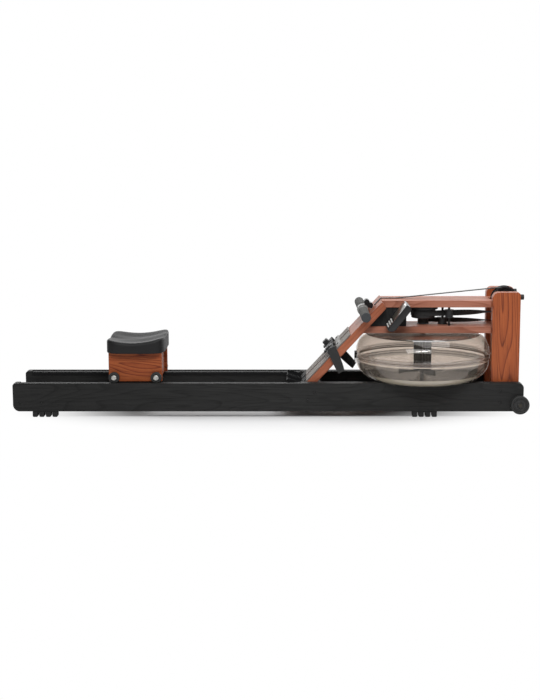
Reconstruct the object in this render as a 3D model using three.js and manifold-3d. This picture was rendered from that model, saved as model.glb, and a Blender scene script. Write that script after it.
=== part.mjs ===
// A water rowing machine with two long rails, a rolling seat, a strap drive and a water tank.
// Millimetres. +X runs from the seat end to the tank end, +Y is the rower's left, +Z is up.
// The origin is on the floor under the middle of the machine.
import * as THREE from "three";
import { mergeVertices } from "three/addons/utils/BufferGeometryUtils.js";
import Module from "manifold-3d";

const wasm = await Module();
wasm.setup();

// Shared clearances
const GAP = 0.3;
const RUNNING_GAP = 0.4;
const OVERRUN = 5;
const MERGE = 0.001;

// Facets of round pieces
const SMALL_SIDES = 12;
const ROUND_SIDES = 20;
const WHEEL_SIDES = 26;
const TANK_SIDES = 48;

// Height of the rails above the floor
const FOOT_HEIGHT = 24;

// Rails
const RAIL_LENGTH = 2073.5;
const RAIL_HEIGHT = 116;
const RAIL_THICKNESS = 40;
const RAIL_SPACING = 240;
const RAIL_REAR_TOP_RADIUS = 12;
const RAIL_REAR_BOTTOM_RADIUS = 27;
const RAIL_FRONT_TOP_RADIUS = 20;
const RAIL_FRONT_BOTTOM_RADIUS = 12;
const CASTOR_RADIUS = 38;
const CASTOR_SETBACK = 16.5;
const MACHINE_LENGTH = RAIL_LENGTH - CASTOR_SETBACK + CASTOR_RADIUS;
const RAIL_REAR_X = -MACHINE_LENGTH / 2;
const RAIL_FRONT_X = RAIL_REAR_X + RAIL_LENGTH;
const RAIL_TOP = FOOT_HEIGHT + RAIL_HEIGHT;
const RAIL_INNER = RAIL_SPACING / 2;
const RAIL_OUTER = RAIL_INNER + RAIL_THICKNESS;

// Places along the rails: the legs, then the tank behind them, then the footboard behind the tank
const LEG_WIDTH = 113;
const LEG_THICKNESS = 42;
const LEG_FRONT_SETBACK = 15;
const LEG_FRONT_X = RAIL_FRONT_X - LEG_FRONT_SETBACK;
const LEG_REAR_X = LEG_FRONT_X - LEG_WIDTH;
const LEG_OUTER = RAIL_INNER - GAP;
const LEG_INNER = LEG_OUTER - LEG_THICKNESS;
const TANK_RADIUS = 280;
const TANK_LEG_GAP = 2;
const TANK_X = LEG_REAR_X - TANK_LEG_GAP - Math.sqrt(TANK_RADIUS ** 2 - LEG_INNER ** 2);
const BOARD_TANK_SPACE = 198;
const BOARD_X = TANK_X - TANK_RADIUS - BOARD_TANK_SPACE;

// Track strips, an angle of hard plastic let into the inner top edge of each rail
const TRACK_REAR_SETBACK = 28;
const TRACK_BOARD_SPACE = 29;
const TRACK_WIDTH = 32;
const TRACK_DROP = 3;
const TRACK_THICKNESS = 2.7;
const TRACK_LIP_HEIGHT = 16;
const TRACK_REAR_X = RAIL_REAR_X + TRACK_REAR_SETBACK;
const TRACK_FRONT_X = BOARD_X - TRACK_BOARD_SPACE;
const TRACK_TOP = RAIL_TOP - TRACK_DROP;

// Boards between the rails
const REAR_BOARD_SETBACK = 8;
const REAR_BOARD_WIDTH = 125;
const REAR_BOARD_THICKNESS = 20;
const REAR_BOARD_HEIGHT = 25;

// Rubber feet with four lobes
const FOOT_LENGTH = 101;
const FOOT_WIDTH = 34;
const FOOT_LOBES = 4;
const FOOT_SLIT = 6;
const FOOT_SLIT_HEIGHT = 19;
const FOOT_LOBE_RADIUS = 5;
const FOOT_REAR_SETBACK = 128.5;
const FOOT_TANK_OFFSET = -2;

// Castor wheels outside the front ends of the rails
const CASTOR_WIDTH = 25;
const CASTOR_HEIGHT = 54;
const CASTOR_SHOULDER = 5;
const CASTOR_DISH = 4;
const CASTOR_DISH_RADIUS = 26;
const CASTOR_HUB_RADIUS = 11;
const CASTOR_SIDE_GAP = 3;
const CASTOR_AXLE_RADIUS = 5;
const CASTOR_AXLE_DEPTH = 26;
const CASTOR_HEAD_RADIUS = 8;
const CASTOR_HEAD_HEIGHT = 3;
const CASTOR_X = RAIL_FRONT_X - CASTOR_SETBACK;

// Front legs
const LEG_LIFT = 6;
const LEG_REAR_RADIUS = 25;
const LEG_FRONT_RADIUS = 13;

// Deck boards between the legs and the footboard
const LOWER_DECK_CLEARANCE = 193;
const DECK_THICKNESS = 28;
const DECK_OPENING = 78;
const DECK_END_SETBACK = 73;
const PIN_SOCKET_DEPTH = 12;
const LOWER_DECK_BOTTOM = RAIL_TOP + LOWER_DECK_CLEARANCE;
const LOWER_DECK_TOP = LOWER_DECK_BOTTOM + DECK_THICKNESS;
const UPPER_DECK_BOTTOM = LOWER_DECK_TOP + DECK_OPENING;
const UPPER_DECK_TOP = UPPER_DECK_BOTTOM + DECK_THICKNESS;
const DECK_HALF = LEG_INNER - GAP;
const DECK_END_X = LEG_FRONT_X - DECK_END_SETBACK;
const LEG_ABOVE_DECK = 38;
const LEG_TOP = UPPER_DECK_TOP + LEG_ABOVE_DECK;

// Bumpers on the front edges of the legs
const BUMPER_RADIUS = 11;
const BUMPER_LENGTH = 15;
const BUMPER_ROUND = 3;
const BUMPER_BELOW_TOP = 20.5;

// Footboard, measured along its front face from the level of the rail tops
const BOARD_ANGLE = THREE.MathUtils.degToRad(47.2);
const BOARD_THICKNESS = 31;
const BOARD_BELOW_RAIL = 105;
const BOARD_SIDE_GAP = 2;
const BOARD_Z = RAIL_TOP;
const BOARD_HALF = RAIL_INNER - BOARD_SIDE_GAP;
const BOARD_COS = Math.cos(BOARD_ANGLE);
const BOARD_SIN = Math.sin(BOARD_ANGLE);

// Cross board that the footboard is screwed to
const BRACE_THICKNESS = 32;
const BRACE_WIDTH = 94;
const BRACE_START = -75;

// Black block between the deck boards behind the footboard
const FILLER_RECESS = 5;
const FILLER_TANK_OFFSET = -74;
const FILLER_END_X = TANK_X + FILLER_TANK_OFFSET;

// Foot tracks, ribbed plates on the footboard
const FOOT_TRACK_START = -58;
const FOOT_TRACK_LENGTH = 316;
const FOOT_TRACK_MIDDLE_GAP = 7;
const FOOT_TRACK_WIDTH = 102;
const FOOT_TRACK_PLATE = 3;
const FOOT_TRACK_RIB = 6;
const FOOT_TRACK_RIB_WIDTH = 9;

// Heel rests that slide on the foot tracks
const HEEL_WIDTH = 92;
const HEEL_WALL = 3;
const HEEL_BASE_LENGTH = 56;
const HEEL_FLOOR_START = -57;
const HEEL_REACH = 58;
const HEEL_CORNER = 14;
const HEEL_SIDE_HEIGHT = 34;
const HEEL_SIDE_FOOT = 12;
const HEEL_RIBS = 5;
const HEEL_RIB_HEIGHT = 2;

// Foot straps with their cam buckles
const STRAP_PLACE = 160;
const STRAP_WIDTH = 38;
const STRAP_THICKNESS = 2.5;
const STRAP_RISE = 18;
const STRAP_ARCH_STEPS = 14;
const TAIL_STEPS = 8;
const TAIL_SAG = 14;
const TAIL_TWIST = THREE.MathUtils.degToRad(50);
const RIGHT_TAIL_DROP = 98;
const RIGHT_TAIL_REACH = 42;
const LEFT_TAIL_DROP = 113;
const LEFT_TAIL_REACH = 110;
const BUCKLE_PLACE = 152;
const BUCKLE_LENGTH = 44;
const BUCKLE_WIDTH = 40;
const BUCKLE_HEIGHT = 5;
const BUCKLE_LEVER_START = 141;
const BUCKLE_LEVER_LENGTH = 23;
const OPEN_LEVER_HEIGHT = 15;
const SHUT_LEVER_HEIGHT = 3;
const BUCKLE_ROUND = 2.4;

// Water tank
const TANK_WALL = 4;
const TANK_BOTTOM = 126;
const TANK_FLOOR_INSET = 160;
const TANK_FLOOR_RADIUS = TANK_RADIUS - TANK_FLOOR_INSET;
const TANK_FLOOR_RISE = 7;
const BOWL_CURVE_WIDTH = 88;
const BOWL_CURVE_HEIGHT = 89;
const DOME_CURVE_WIDTH = 74;
const DOME_CURVE_HEIGHT = 84;
const DOME_RIM_DROP = 3;
const DOME_RIM_INSET = 56;
const DOME_RIM_RADIUS = TANK_RADIUS - DOME_RIM_INSET;
const FLANGE_WIDTH = 16;
const FLANGE_HEIGHT = 9;
const FLANGE_STEP = 3;
const SEAL_THICKNESS = 2;
const TANK_CURVE_STEPS = 6;
const SHAFT_SOCKET_RADIUS = 18;
const SHAFT_SOCKET_HEIGHT = 16;
const DOME_NECK_RADIUS = 13;
const TANK_SHELF_LENGTH = 190;
const TANK_SHELF_THICKNESS = 20;
const RAIL_SCOOP_GAP = 1.2;
const DOME_TOP = LOWER_DECK_BOTTOM - DOME_RIM_DROP;
const SEAM_BOTTOM = TANK_BOTTOM + TANK_FLOOR_RISE + BOWL_CURVE_HEIGHT;
const SEAL_BOTTOM = SEAM_BOTTOM + FLANGE_HEIGHT + GAP;
const DOME_BOTTOM = SEAL_BOTTOM + SEAL_THICKNESS + GAP;

// Fill plug in the top of the tank, clear of the deck
const PLUG_RADIUS = 20;
const PLUG_HEAD_RADIUS = 25;
const PLUG_HEAD_HEIGHT = 4;
const PLUG_DEPTH = 12;
const PLUG_RIM_SPACE = 42;
const PLUG_ANGLE = THREE.MathUtils.degToRad(127);

// Paddle on its shaft
const SHAFT_RADIUS = 8;
const SHAFT_SOCKET_FLOOR = 8;
const ROTOR_HUB_RADIUS = 15;
const ROTOR_BLADES = 4;
const ROTOR_BLADE_THICKNESS = 5;
const ROTOR_MAST_HALF = 37;
const ROTOR_FLOOR_SPACE = 10;
const ROTOR_RADIUS = TANK_FLOOR_RADIUS - ROTOR_FLOOR_SPACE;
const ROTOR_BOTTOM_GAP = 10;
const ROTOR_BLADE_HEIGHT = 28;
const ROTOR_TOP_GAP = 12;
const ROTOR_BLADE_SWEEP = THREE.MathUtils.degToRad(24);
const ROTOR_BLADE_STEPS = 5;

// Clutch drum that the drive strap winds on
const CLUTCH_FLANGE_RADIUS = 61;
const CLUTCH_FLANGE_HEIGHT = 10;
const CLUTCH_DRUM_RADIUS = 49;
const CLUTCH_DRUM_HEIGHT = 37;
const CLUTCH_STRAP_DROP = 14.5;
const CLUTCH_HUB_RADIUS = 20;
const CLUTCH_FOOT_RADIUS = 25;
const CLUTCH_FOOT_HEIGHT = 3;
const CLUTCH_LIFT = 2;
const CLUTCH_TOP_GAP = 4;
const CLUTCH_BEVEL = 3;

// Drive strap and recoil belt
const DRIVE_STRAP_WIDTH = 24;
const RECOIL_BELT_WIDTH = 20;
const BELT_THICKNESS = 2;
const TWIST_STEPS = 14;
const TWIST_MARGIN = 24;
const ROLLER_CLEARANCE = 2;
const WRAP_STEPS = 30;
const OVER_STEPS = 16;
const WRAP_ANGLE = THREE.MathUtils.degToRad(300);

// Top pulley between the legs
const PULLEY_RADIUS = 55;
const PULLEY_GROOVE_RADIUS = 49;
const PULLEY_WIDTH = 40;
const PULLEY_FLANGE = 4;
const PULLEY_SETBACK = 50;
const PULLEY_BELOW_TOP = 41;
const PULLEY_HUB_RADIUS = 13;
const AXLE_RADIUS = 6;
const AXLE_DEPTH = 24;
const DECK_SLOT_HALF = 28;
const DECK_SLOT_CLEARANCE = 8;
const PULLEY_X = LEG_FRONT_X - PULLEY_SETBACK;
const PULLEY_Z = LEG_TOP - PULLEY_BELOW_TOP;

// Roller that steers the drive strap
const IDLER_RADIUS = 16;
const IDLER_FLANGE_RADIUS = 20;
const IDLER_FLANGE_HEIGHT = 3;
const IDLER_TANK_OFFSET = 102;
const PIN_RADIUS = 5;
const IDLER_X = TANK_X + IDLER_TANK_OFFSET;

// Guide drum and turning pulleys of the recoil belt
const GUIDE_RADIUS = 18;
const GUIDE_FLANGE_RADIUS = 21;
const GUIDE_TANK_OFFSET = 80;
const RECOIL_PULLEY_RADIUS = 26;
const RECOIL_PULLEY_FLANGE_RADIUS = 31;
const RECOIL_PULLEY_WIDTH = 30;
const RECOIL_PULLEY_FLANGE = 3;
const RECOIL_SETBACK = 63;
const BOTTOM_PULLEY_Z = 80;
const BELT_END_Z = 205;
const GUIDE_X = TANK_X + GUIDE_TANK_OFFSET;
const RECOIL_X = LEG_FRONT_X - RECOIL_SETBACK;

// Bungee cord that winds the strap back
const BUNGEE_RADIUS = 5;
const BUNGEE_SIDES = 8;
const BUNGEE_BEND_STEPS = 8;

// Handle
const HANDLE_LENGTH = 440;
const HANDLE_PLACE = 361;
const HANDLE_LEAN = THREE.MathUtils.degToRad(1.85);
const GRIP_RADIUS = 19.5;
const SLEEVE_LENGTH = 90;
const GRIP_LENGTH = (HANDLE_LENGTH - SLEEVE_LENGTH) / 2;
const GRIP_END_ROUND = 4;
const GRIP_END_THICKNESS = 6;
const BAR_RADIUS = 11;
const SLEEVE_RADIUS = 17.5;
const CLIP_WIDTH = 30;
const CLIP_WALL = 5;
const CLIP_REACH = 35;
const CLIP_LOBE_RADIUS = 11.5;
const CLIP_LOBE_SPREAD = 20;
const CLIP_EYE_RADIUS = 4;
const STRAP_ON_DECK = 62;

// Monitor on its arm beside the deck
const MONITOR_LENGTH = 128;
const MONITOR_THICKNESS = 28;
const MONITOR_WIDTH = 142;
const MONITOR_TILT = THREE.MathUtils.degToRad(52);
const MONITOR_END_RADIUS = 13;
const MONITOR_TOP_RADIUS = 4;
const MONITOR_SIDE_GAP = 5;
const MONITOR_TANK_OFFSET = -111;
const MONITOR_ABOVE_DECK = 49;
const MONITOR_SCREEN_MARGIN = 7;
const MONITOR_SCREEN_DEPTH = 1.5;
const MONITOR_AXLE_RADIUS = 6;
const MONITOR_AXLE_DEPTH = 24;
const ARM_FOOT_RADIUS = 19;
const ARM_FOOT_THICKNESS = 3;
const MONITOR_X = TANK_X + MONITOR_TANK_OFFSET;
const MONITOR_Z = LOWER_DECK_TOP + MONITOR_ABOVE_DECK;

// Seat
const SEAT_SETBACK = 495.5;
const SEAT_BOX_LENGTH = 217;
const SEAT_BOX_HEIGHT = 117;
const SEAT_BOX_HALF = 124;
const SEAT_BOARD_THICKNESS = 20;
const SEAT_END_INSET = 12;
const SEAT_FLOAT = 5;
const SEAT_WHEEL_RADIUS = 22.4;
const SEAT_WHEEL_WIDTH = 16;
const SEAT_WHEEL_BASE = 171;
const SEAT_WHEEL_SIDE_GAP = 6;
const SEAT_WHEEL_ROUND = 4;
const SEAT_AXLE_RADIUS = 5;
const SEAT_AXLE_HEAD_RADIUS = 11;
const SEAT_AXLE_HEAD_HEIGHT = 4;
const SEAT_X = RAIL_REAR_X + SEAT_SETBACK;
const SEAT_BOX_BOTTOM = TRACK_TOP + SEAT_FLOAT;
const SEAT_BOX_TOP = SEAT_BOX_BOTTOM + SEAT_BOX_HEIGHT;
const SEAT_WHEEL_Z = TRACK_TOP + GAP + SEAT_WHEEL_RADIUS;

// Seat pad
const PAD_LENGTH = 236;
const PAD_WIDTH = 292;
const PAD_MIDDLE_HEIGHT = 45;
const PAD_SADDLE = 22;
const PAD_TILT = 4;
const PAD_HOLLOW = 9;
const PAD_HOLLOW_PLACE = 62;
const PAD_HOLLOW_SPREAD = 46;
const PAD_EDGE_ROUND = 20;
const PAD_BASE_ROUND = 3;
const PAD_CORNER_POWER = 5.5;
const PAD_POINTS = 48;
const PAD_RIM_RINGS = 4;
const PAD_TOP_RINGS = 7;

// Materials
const finish = (color, roughness, metalness = 0) =>
  new THREE.MeshStandardMaterial({ color, roughness, metalness });
const stainedWood = finish(0x9c5434, 0.5);
const blackWood = finish(0x2b2b2b, 0.55);
const blackPlastic = finish(0x1d1d1e, 0.45);
const rubber = finish(0x262626, 0.8);
const webbing = finish(0x1b1b1b, 0.9);
const greyPlastic = finish(0xa39f9a, 0.5);
const gripFoam = finish(0x5f6159, 0.85);
const sleevePlastic = finish(0xaaaaa4, 0.45);
const padFoam = finish(0x2e2e2f, 0.6);
const steel = finish(0xb8b8b4, 0.3, 1);
const tankPlastic = finish(0xc8beb0, 0.1);
const paddlePlastic = finish(0x50504f, 0.5);
const sealRubber = finish(0xcfc8bb, 0.5);

// A closed solid from a geometry: its vertices are merged, slivers are dropped and its faces point out.
function solid(geometry) {
  const loose = geometry.index ? geometry.toNonIndexed() : geometry;
  const bare = new THREE.BufferGeometry();
  bare.setAttribute("position", loose.getAttribute("position").clone());
  const merged = mergeVertices(bare, MERGE);
  const index = merged.index.array;
  const kept = [];
  for (let i = 0; i < index.length; i += 3) {
    const [a, b, c] = index.slice(i, i + 3);
    if (a !== b && b !== c && c !== a) kept.push([a, b, c]);
  }
  const build = (order) =>
    new wasm.Manifold(
      new wasm.Mesh({
        numProp: 3,
        vertProperties: merged.attributes.position.array,
        triVerts: new Uint32Array(order),
      }),
    );
  const made = build(kept.flat());
  return made.volume() > 0 ? made : build(kept.flatMap(([a, b, c]) => [a, c, b]));
}

// The geometry of a solid, with flat faces.
function geometryOf(made) {
  const mesh = made.getMesh();
  const points = new Float32Array(mesh.numVert * 3);
  for (let i = 0; i < mesh.numVert; i++) {
    points.set(mesh.vertProperties.subarray(i * mesh.numProp, i * mesh.numProp + 3), i * 3);
  }
  const geometry = new THREE.BufferGeometry();
  geometry.setAttribute("position", new THREE.BufferAttribute(points, 3));
  geometry.setIndex(new THREE.BufferAttribute(new Uint32Array(mesh.triVerts), 1));
  const flat = geometry.toNonIndexed();
  flat.computeVertexNormals();
  return flat;
}

// Adds a named piece to its group.
function piece(group, name, made, material) {
  const mesh = new THREE.Mesh(geometryOf(made), material.clone());
  mesh.name = name;
  group.add(mesh);
  return mesh;
}

// An outline from corners [x, y, radius], where a radius rounds its corner.
function outline(corners) {
  const shape = new THREE.Shape();
  const count = corners.length;
  corners.forEach(([x, y, radius = 0], i) => {
    const corner = new THREE.Vector2(x, y);
    const [bx, by] = corners[(i + count - 1) % count];
    const [ax, ay] = corners[(i + 1) % count];
    const before = new THREE.Vector2(bx, by).sub(corner).normalize();
    const after = new THREE.Vector2(ax, ay).sub(corner).normalize();
    const move = i === 0 ? "moveTo" : "lineTo";
    if (radius === 0) {
      shape[move](x, y);
      return;
    }
    const half = Math.acos(THREE.MathUtils.clamp(before.dot(after), -1, 1)) / 2;
    const start = corner.clone().addScaledVector(before, radius / Math.tan(half));
    const end = corner.clone().addScaledVector(after, radius / Math.tan(half));
    const middle = before.clone().add(after).normalize();
    const centre = corner.clone().addScaledVector(middle, radius / Math.sin(half));
    const from = Math.atan2(start.y - centre.y, start.x - centre.x);
    const to = Math.atan2(end.y - centre.y, end.x - centre.x);
    shape[move](start.x, start.y);
    shape.absarc(centre.x, centre.y, radius, from, to, before.cross(after) > 0);
  });
  shape.closePath();
  return shape;
}

const rectangle = (x0, x1, y0, y1, radius = 0) =>
  outline([
    [x0, y0, radius],
    [x1, y0, radius],
    [x1, y1, radius],
    [x0, y1, radius],
  ]);

// Prisms of an outline, named after the axis they run along.
function prism(shape, length, basis, curveSegments = 6) {
  const geometry = new THREE.ExtrudeGeometry(shape, { depth: length, bevelEnabled: false, curveSegments });
  geometry.applyMatrix4(new THREE.Matrix4().makeBasis(...basis));
  return geometry;
}
const AXIS_X = new THREE.Vector3(1, 0, 0);
const AXIS_Y = new THREE.Vector3(0, 1, 0);
const AXIS_Z = new THREE.Vector3(0, 0, 1);
const prismX = (shape, x0, x1) =>
  solid(prism(shape, x1 - x0, [AXIS_Y, AXIS_Z, AXIS_X]).translate(x0, 0, 0));
const prismY = (shape, y0, y1, curveSegments) =>
  solid(prism(shape, y1 - y0, [AXIS_X, AXIS_Z, AXIS_Y.clone().negate()], curveSegments).translate(0, y1, 0));
const prismZ = (shape, z0, z1) =>
  solid(prism(shape, z1 - z0, [AXIS_X, AXIS_Y, AXIS_Z]).translate(0, 0, z0));
const block = (x0, x1, y0, y1, z0, z1) => prismZ(rectangle(x0, x1, y0, y1), z0, z1);

// Revolved solids: the profile's points are [radius, height] along the named axis.
function revolved(profile, sides) {
  return new THREE.LatheGeometry(profile.map(([r, h]) => new THREE.Vector2(r, h)), sides);
}
const turnedZ = (profile, sides, x = 0, y = 0, z = 0) =>
  solid(revolved(profile, sides).rotateX(Math.PI / 2).translate(x, y, z));
const turnedY = (profile, sides, x = 0, y = 0, z = 0) => solid(revolved(profile, sides).translate(x, y, z));
const turnedX = (profile, sides, x = 0, y = 0, z = 0) =>
  solid(revolved(profile, sides).rotateZ(-Math.PI / 2).translate(x, y, z));
const rod = (radius, low, high) => [
  [0, low],
  [radius, low],
  [radius, high],
  [0, high],
];

// A closed skin over rings of points, with a flat fan at each end.
function skin(rings) {
  const points = [];
  const count = rings[0].length;
  const triangle = (a, b, c) => points.push(...a.toArray(), ...b.toArray(), ...c.toArray());
  for (let i = 0; i + 1 < rings.length; i++) {
    for (let j = 0; j < count; j++) {
      const k = (j + 1) % count;
      triangle(rings[i][j], rings[i][k], rings[i + 1][k]);
      triangle(rings[i][j], rings[i + 1][k], rings[i + 1][j]);
    }
  }
  const first = rings[0];
  const last = rings[rings.length - 1];
  for (let j = 1; j + 1 < count; j++) {
    triangle(first[0], first[j + 1], first[j]);
    triangle(last[0], last[j], last[j + 1]);
  }
  const geometry = new THREE.BufferGeometry();
  geometry.setAttribute("position", new THREE.Float32BufferAttribute(points, 3));
  return solid(geometry);
}

// A flat band along stations { at, across, out }: across is its width's direction, out its thickness's.
function band(stations, width, thickness) {
  const corner = (station, side, face) =>
    station.at
      .clone()
      .addScaledVector(station.across, (side * width) / 2)
      .addScaledVector(station.out, (face * thickness) / 2);
  return skin(
    stations.map((station) => [
      corner(station, -1, -1),
      corner(station, 1, -1),
      corner(station, 1, 1),
      corner(station, -1, 1),
    ]),
  );
}

const shares = (steps) => Array.from({ length: steps + 1 }, (_, i) => i / steps);
const mix = (a, b, share) => a + (b - a) * share;

// Places on the footboard: s runs up its front face and n stands out of it.
const boardPlace = (s, n) => ({
  x: BOARD_X + s * BOARD_COS - n * BOARD_SIN,
  z: BOARD_Z + s * BOARD_SIN + n * BOARD_COS,
});
const boardLength = (z, n) => (z - BOARD_Z - n * BOARD_COS) / BOARD_SIN;
const boardX = (z, n) => boardPlace(boardLength(z, n), n).x;

const machine = new THREE.Group();
const board = new THREE.Group();
board.position.set(BOARD_X, 0, BOARD_Z);
board.rotation.y = -BOARD_ANGLE;
machine.add(board);

// Curves of the tank's two shells, as [radius, height] from the seam to the flat.
function bowlCurve(inset) {
  return shares(TANK_CURVE_STEPS).map((share) => {
    const angle = (share * Math.PI) / 2;
    return [
      TANK_RADIUS - FLANGE_STEP - BOWL_CURVE_WIDTH + (BOWL_CURVE_WIDTH - inset) * Math.cos(angle),
      SEAM_BOTTOM - (BOWL_CURVE_HEIGHT - inset) * Math.sin(angle),
    ];
  });
}
function domeCurve(inset) {
  return shares(TANK_CURVE_STEPS).map((share) => {
    const angle = (share * Math.PI) / 2;
    return [
      TANK_RADIUS - FLANGE_STEP - DOME_CURVE_WIDTH + (DOME_CURVE_WIDTH - inset) * Math.cos(angle),
      DOME_TOP - DOME_CURVE_HEIGHT + (DOME_CURVE_HEIGHT - inset) * Math.sin(angle),
    ];
  });
}

function bowlProfile() {
  const outside = bowlCurve(0).reverse();
  const inside = bowlCurve(TANK_WALL);
  const floor = TANK_BOTTOM + TANK_WALL;
  return [
    [0, TANK_BOTTOM],
    [TANK_FLOOR_RADIUS, TANK_BOTTOM],
    ...outside,
    [TANK_RADIUS, SEAM_BOTTOM],
    [TANK_RADIUS, SEAM_BOTTOM + FLANGE_HEIGHT],
    [TANK_RADIUS - FLANGE_STEP - TANK_WALL, SEAM_BOTTOM + FLANGE_HEIGHT],
    ...inside,
    [TANK_FLOOR_RADIUS, floor],
    [SHAFT_SOCKET_RADIUS, floor],
    [SHAFT_SOCKET_RADIUS, TANK_BOTTOM + SHAFT_SOCKET_FLOOR + SHAFT_SOCKET_HEIGHT],
    [SHAFT_RADIUS + RUNNING_GAP, TANK_BOTTOM + SHAFT_SOCKET_FLOOR + SHAFT_SOCKET_HEIGHT],
    [SHAFT_RADIUS + RUNNING_GAP, TANK_BOTTOM + SHAFT_SOCKET_FLOOR],
    [0, TANK_BOTTOM + SHAFT_SOCKET_FLOOR],
  ];
}

function domeProfile() {
  const outside = domeCurve(0);
  const inside = domeCurve(TANK_WALL).reverse();
  const rim = DOME_TOP - DOME_RIM_DROP;
  const profile = [
    [TANK_RADIUS, DOME_BOTTOM],
    [TANK_RADIUS, DOME_BOTTOM + FLANGE_HEIGHT],
    ...outside.slice(0, -1),
    [DOME_RIM_RADIUS - DOME_RIM_DROP, DOME_TOP],
    [DOME_RIM_RADIUS - DOME_RIM_DROP * 2, rim],
    [DOME_NECK_RADIUS, rim],
    [DOME_NECK_RADIUS, rim - TANK_WALL],
    ...inside.map(([r, h]) => [r, Math.min(h, rim - TANK_WALL)]),
    [TANK_RADIUS - FLANGE_WIDTH, DOME_BOTTOM + FLANGE_HEIGHT],
    [TANK_RADIUS - FLANGE_WIDTH, DOME_BOTTOM],
  ];
  return [...profile, profile[0]];
}

// The tank: bowl, dome, seal and fill plug
const plugReach = DOME_RIM_RADIUS - PLUG_RIM_SPACE;
const plugX = TANK_X + plugReach * Math.cos(PLUG_ANGLE);
const plugY = plugReach * Math.sin(PLUG_ANGLE);
const plugZ = DOME_TOP - DOME_RIM_DROP;
const plugHole = turnedZ(rod(PLUG_RADIUS + GAP, -PLUG_DEPTH, PLUG_DEPTH), ROUND_SIDES, plugX, plugY, plugZ);
const bowl = turnedZ(bowlProfile(), TANK_SIDES, TANK_X);
piece(machine, "tank_bowl", bowl, tankPlastic);
const dome = turnedZ(domeProfile(), TANK_SIDES, TANK_X);
piece(machine, "tank_dome", dome.subtract(plugHole), tankPlastic);
const sealProfile = [
  [TANK_RADIUS - FLANGE_WIDTH, SEAL_BOTTOM],
  [TANK_RADIUS - FLANGE_STEP, SEAL_BOTTOM],
  [TANK_RADIUS - FLANGE_STEP, SEAL_BOTTOM + SEAL_THICKNESS],
  [TANK_RADIUS - FLANGE_WIDTH, SEAL_BOTTOM + SEAL_THICKNESS],
  [TANK_RADIUS - FLANGE_WIDTH, SEAL_BOTTOM],
];
piece(machine, "tank_seal", turnedZ(sealProfile, TANK_SIDES, TANK_X), sealRubber);
const plugProfile = [
  [0, -PLUG_DEPTH],
  [PLUG_RADIUS - PLUG_HEAD_HEIGHT, -PLUG_DEPTH],
  [PLUG_RADIUS, -TANK_WALL],
  [PLUG_RADIUS, GAP],
  [PLUG_HEAD_RADIUS, GAP],
  [PLUG_HEAD_RADIUS, PLUG_HEAD_HEIGHT],
  [0, PLUG_HEAD_HEIGHT],
];
piece(machine, "fill_plug", turnedZ(plugProfile, ROUND_SIDES, plugX, plugY, plugZ), rubber);

// Rails with the rebate for the track, the scoop for the bowl and the bore of the castor axle
const scoopProfile = bowlProfile()
  .slice(0, TANK_CURVE_STEPS + 4)
  .map(([r, h]) => [r === 0 ? 0 : r + RAIL_SCOOP_GAP, h - RAIL_SCOOP_GAP]);
const scoop = turnedZ([...scoopProfile, [0, SEAM_BOTTOM]], TANK_SIDES, TANK_X);
const railOutline = outline([
  [RAIL_REAR_X, FOOT_HEIGHT, RAIL_REAR_BOTTOM_RADIUS],
  [RAIL_FRONT_X, FOOT_HEIGHT, RAIL_FRONT_BOTTOM_RADIUS],
  [RAIL_FRONT_X, RAIL_TOP, RAIL_FRONT_TOP_RADIUS],
  [RAIL_REAR_X, RAIL_TOP, RAIL_REAR_TOP_RADIUS],
]);
const rebateDepth = TRACK_DROP + TRACK_THICKNESS + GAP;

function rail(name, side) {
  const inner = side * RAIL_INNER;
  const outer = side * RAIL_OUTER;
  const rebateEdge = side * (RAIL_INNER + TRACK_WIDTH);
  const over = side * (RAIL_INNER - OVERRUN);
  const rebate = block(
    TRACK_REAR_X - GAP,
    TRACK_FRONT_X + GAP,
    Math.min(over, rebateEdge),
    Math.max(over, rebateEdge),
    RAIL_TOP - rebateDepth,
    RAIL_TOP + OVERRUN,
  );
  const boreEnd = side * (RAIL_OUTER - CASTOR_AXLE_DEPTH - GAP);
  const boreOver = side * (RAIL_OUTER + OVERRUN);
  const bore = turnedY(
    rod(CASTOR_AXLE_RADIUS + GAP, Math.min(boreEnd, boreOver), Math.max(boreEnd, boreOver)),
    SMALL_SIDES,
    CASTOR_X,
    0,
    CASTOR_HEIGHT,
  );
  const beam = prismY(railOutline, Math.min(inner, outer), Math.max(inner, outer));
  piece(machine, name, beam.subtract(rebate).subtract(scoop).subtract(bore), blackWood);
}

function track(name, side) {
  const lipInner = RAIL_INNER - GAP - TRACK_THICKNESS;
  const section = [
    [lipInner, RAIL_TOP - TRACK_LIP_HEIGHT],
    [RAIL_INNER - GAP, RAIL_TOP - TRACK_LIP_HEIGHT],
    [RAIL_INNER - GAP, TRACK_TOP - TRACK_THICKNESS],
    [RAIL_INNER + TRACK_WIDTH - GAP, TRACK_TOP - TRACK_THICKNESS],
    [RAIL_INNER + TRACK_WIDTH - GAP, TRACK_TOP],
    [lipInner, TRACK_TOP],
  ].map(([y, z]) => [side * y, z]);
  piece(machine, name, prismX(outline(section), TRACK_REAR_X, TRACK_FRONT_X), blackPlastic);
}

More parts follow.
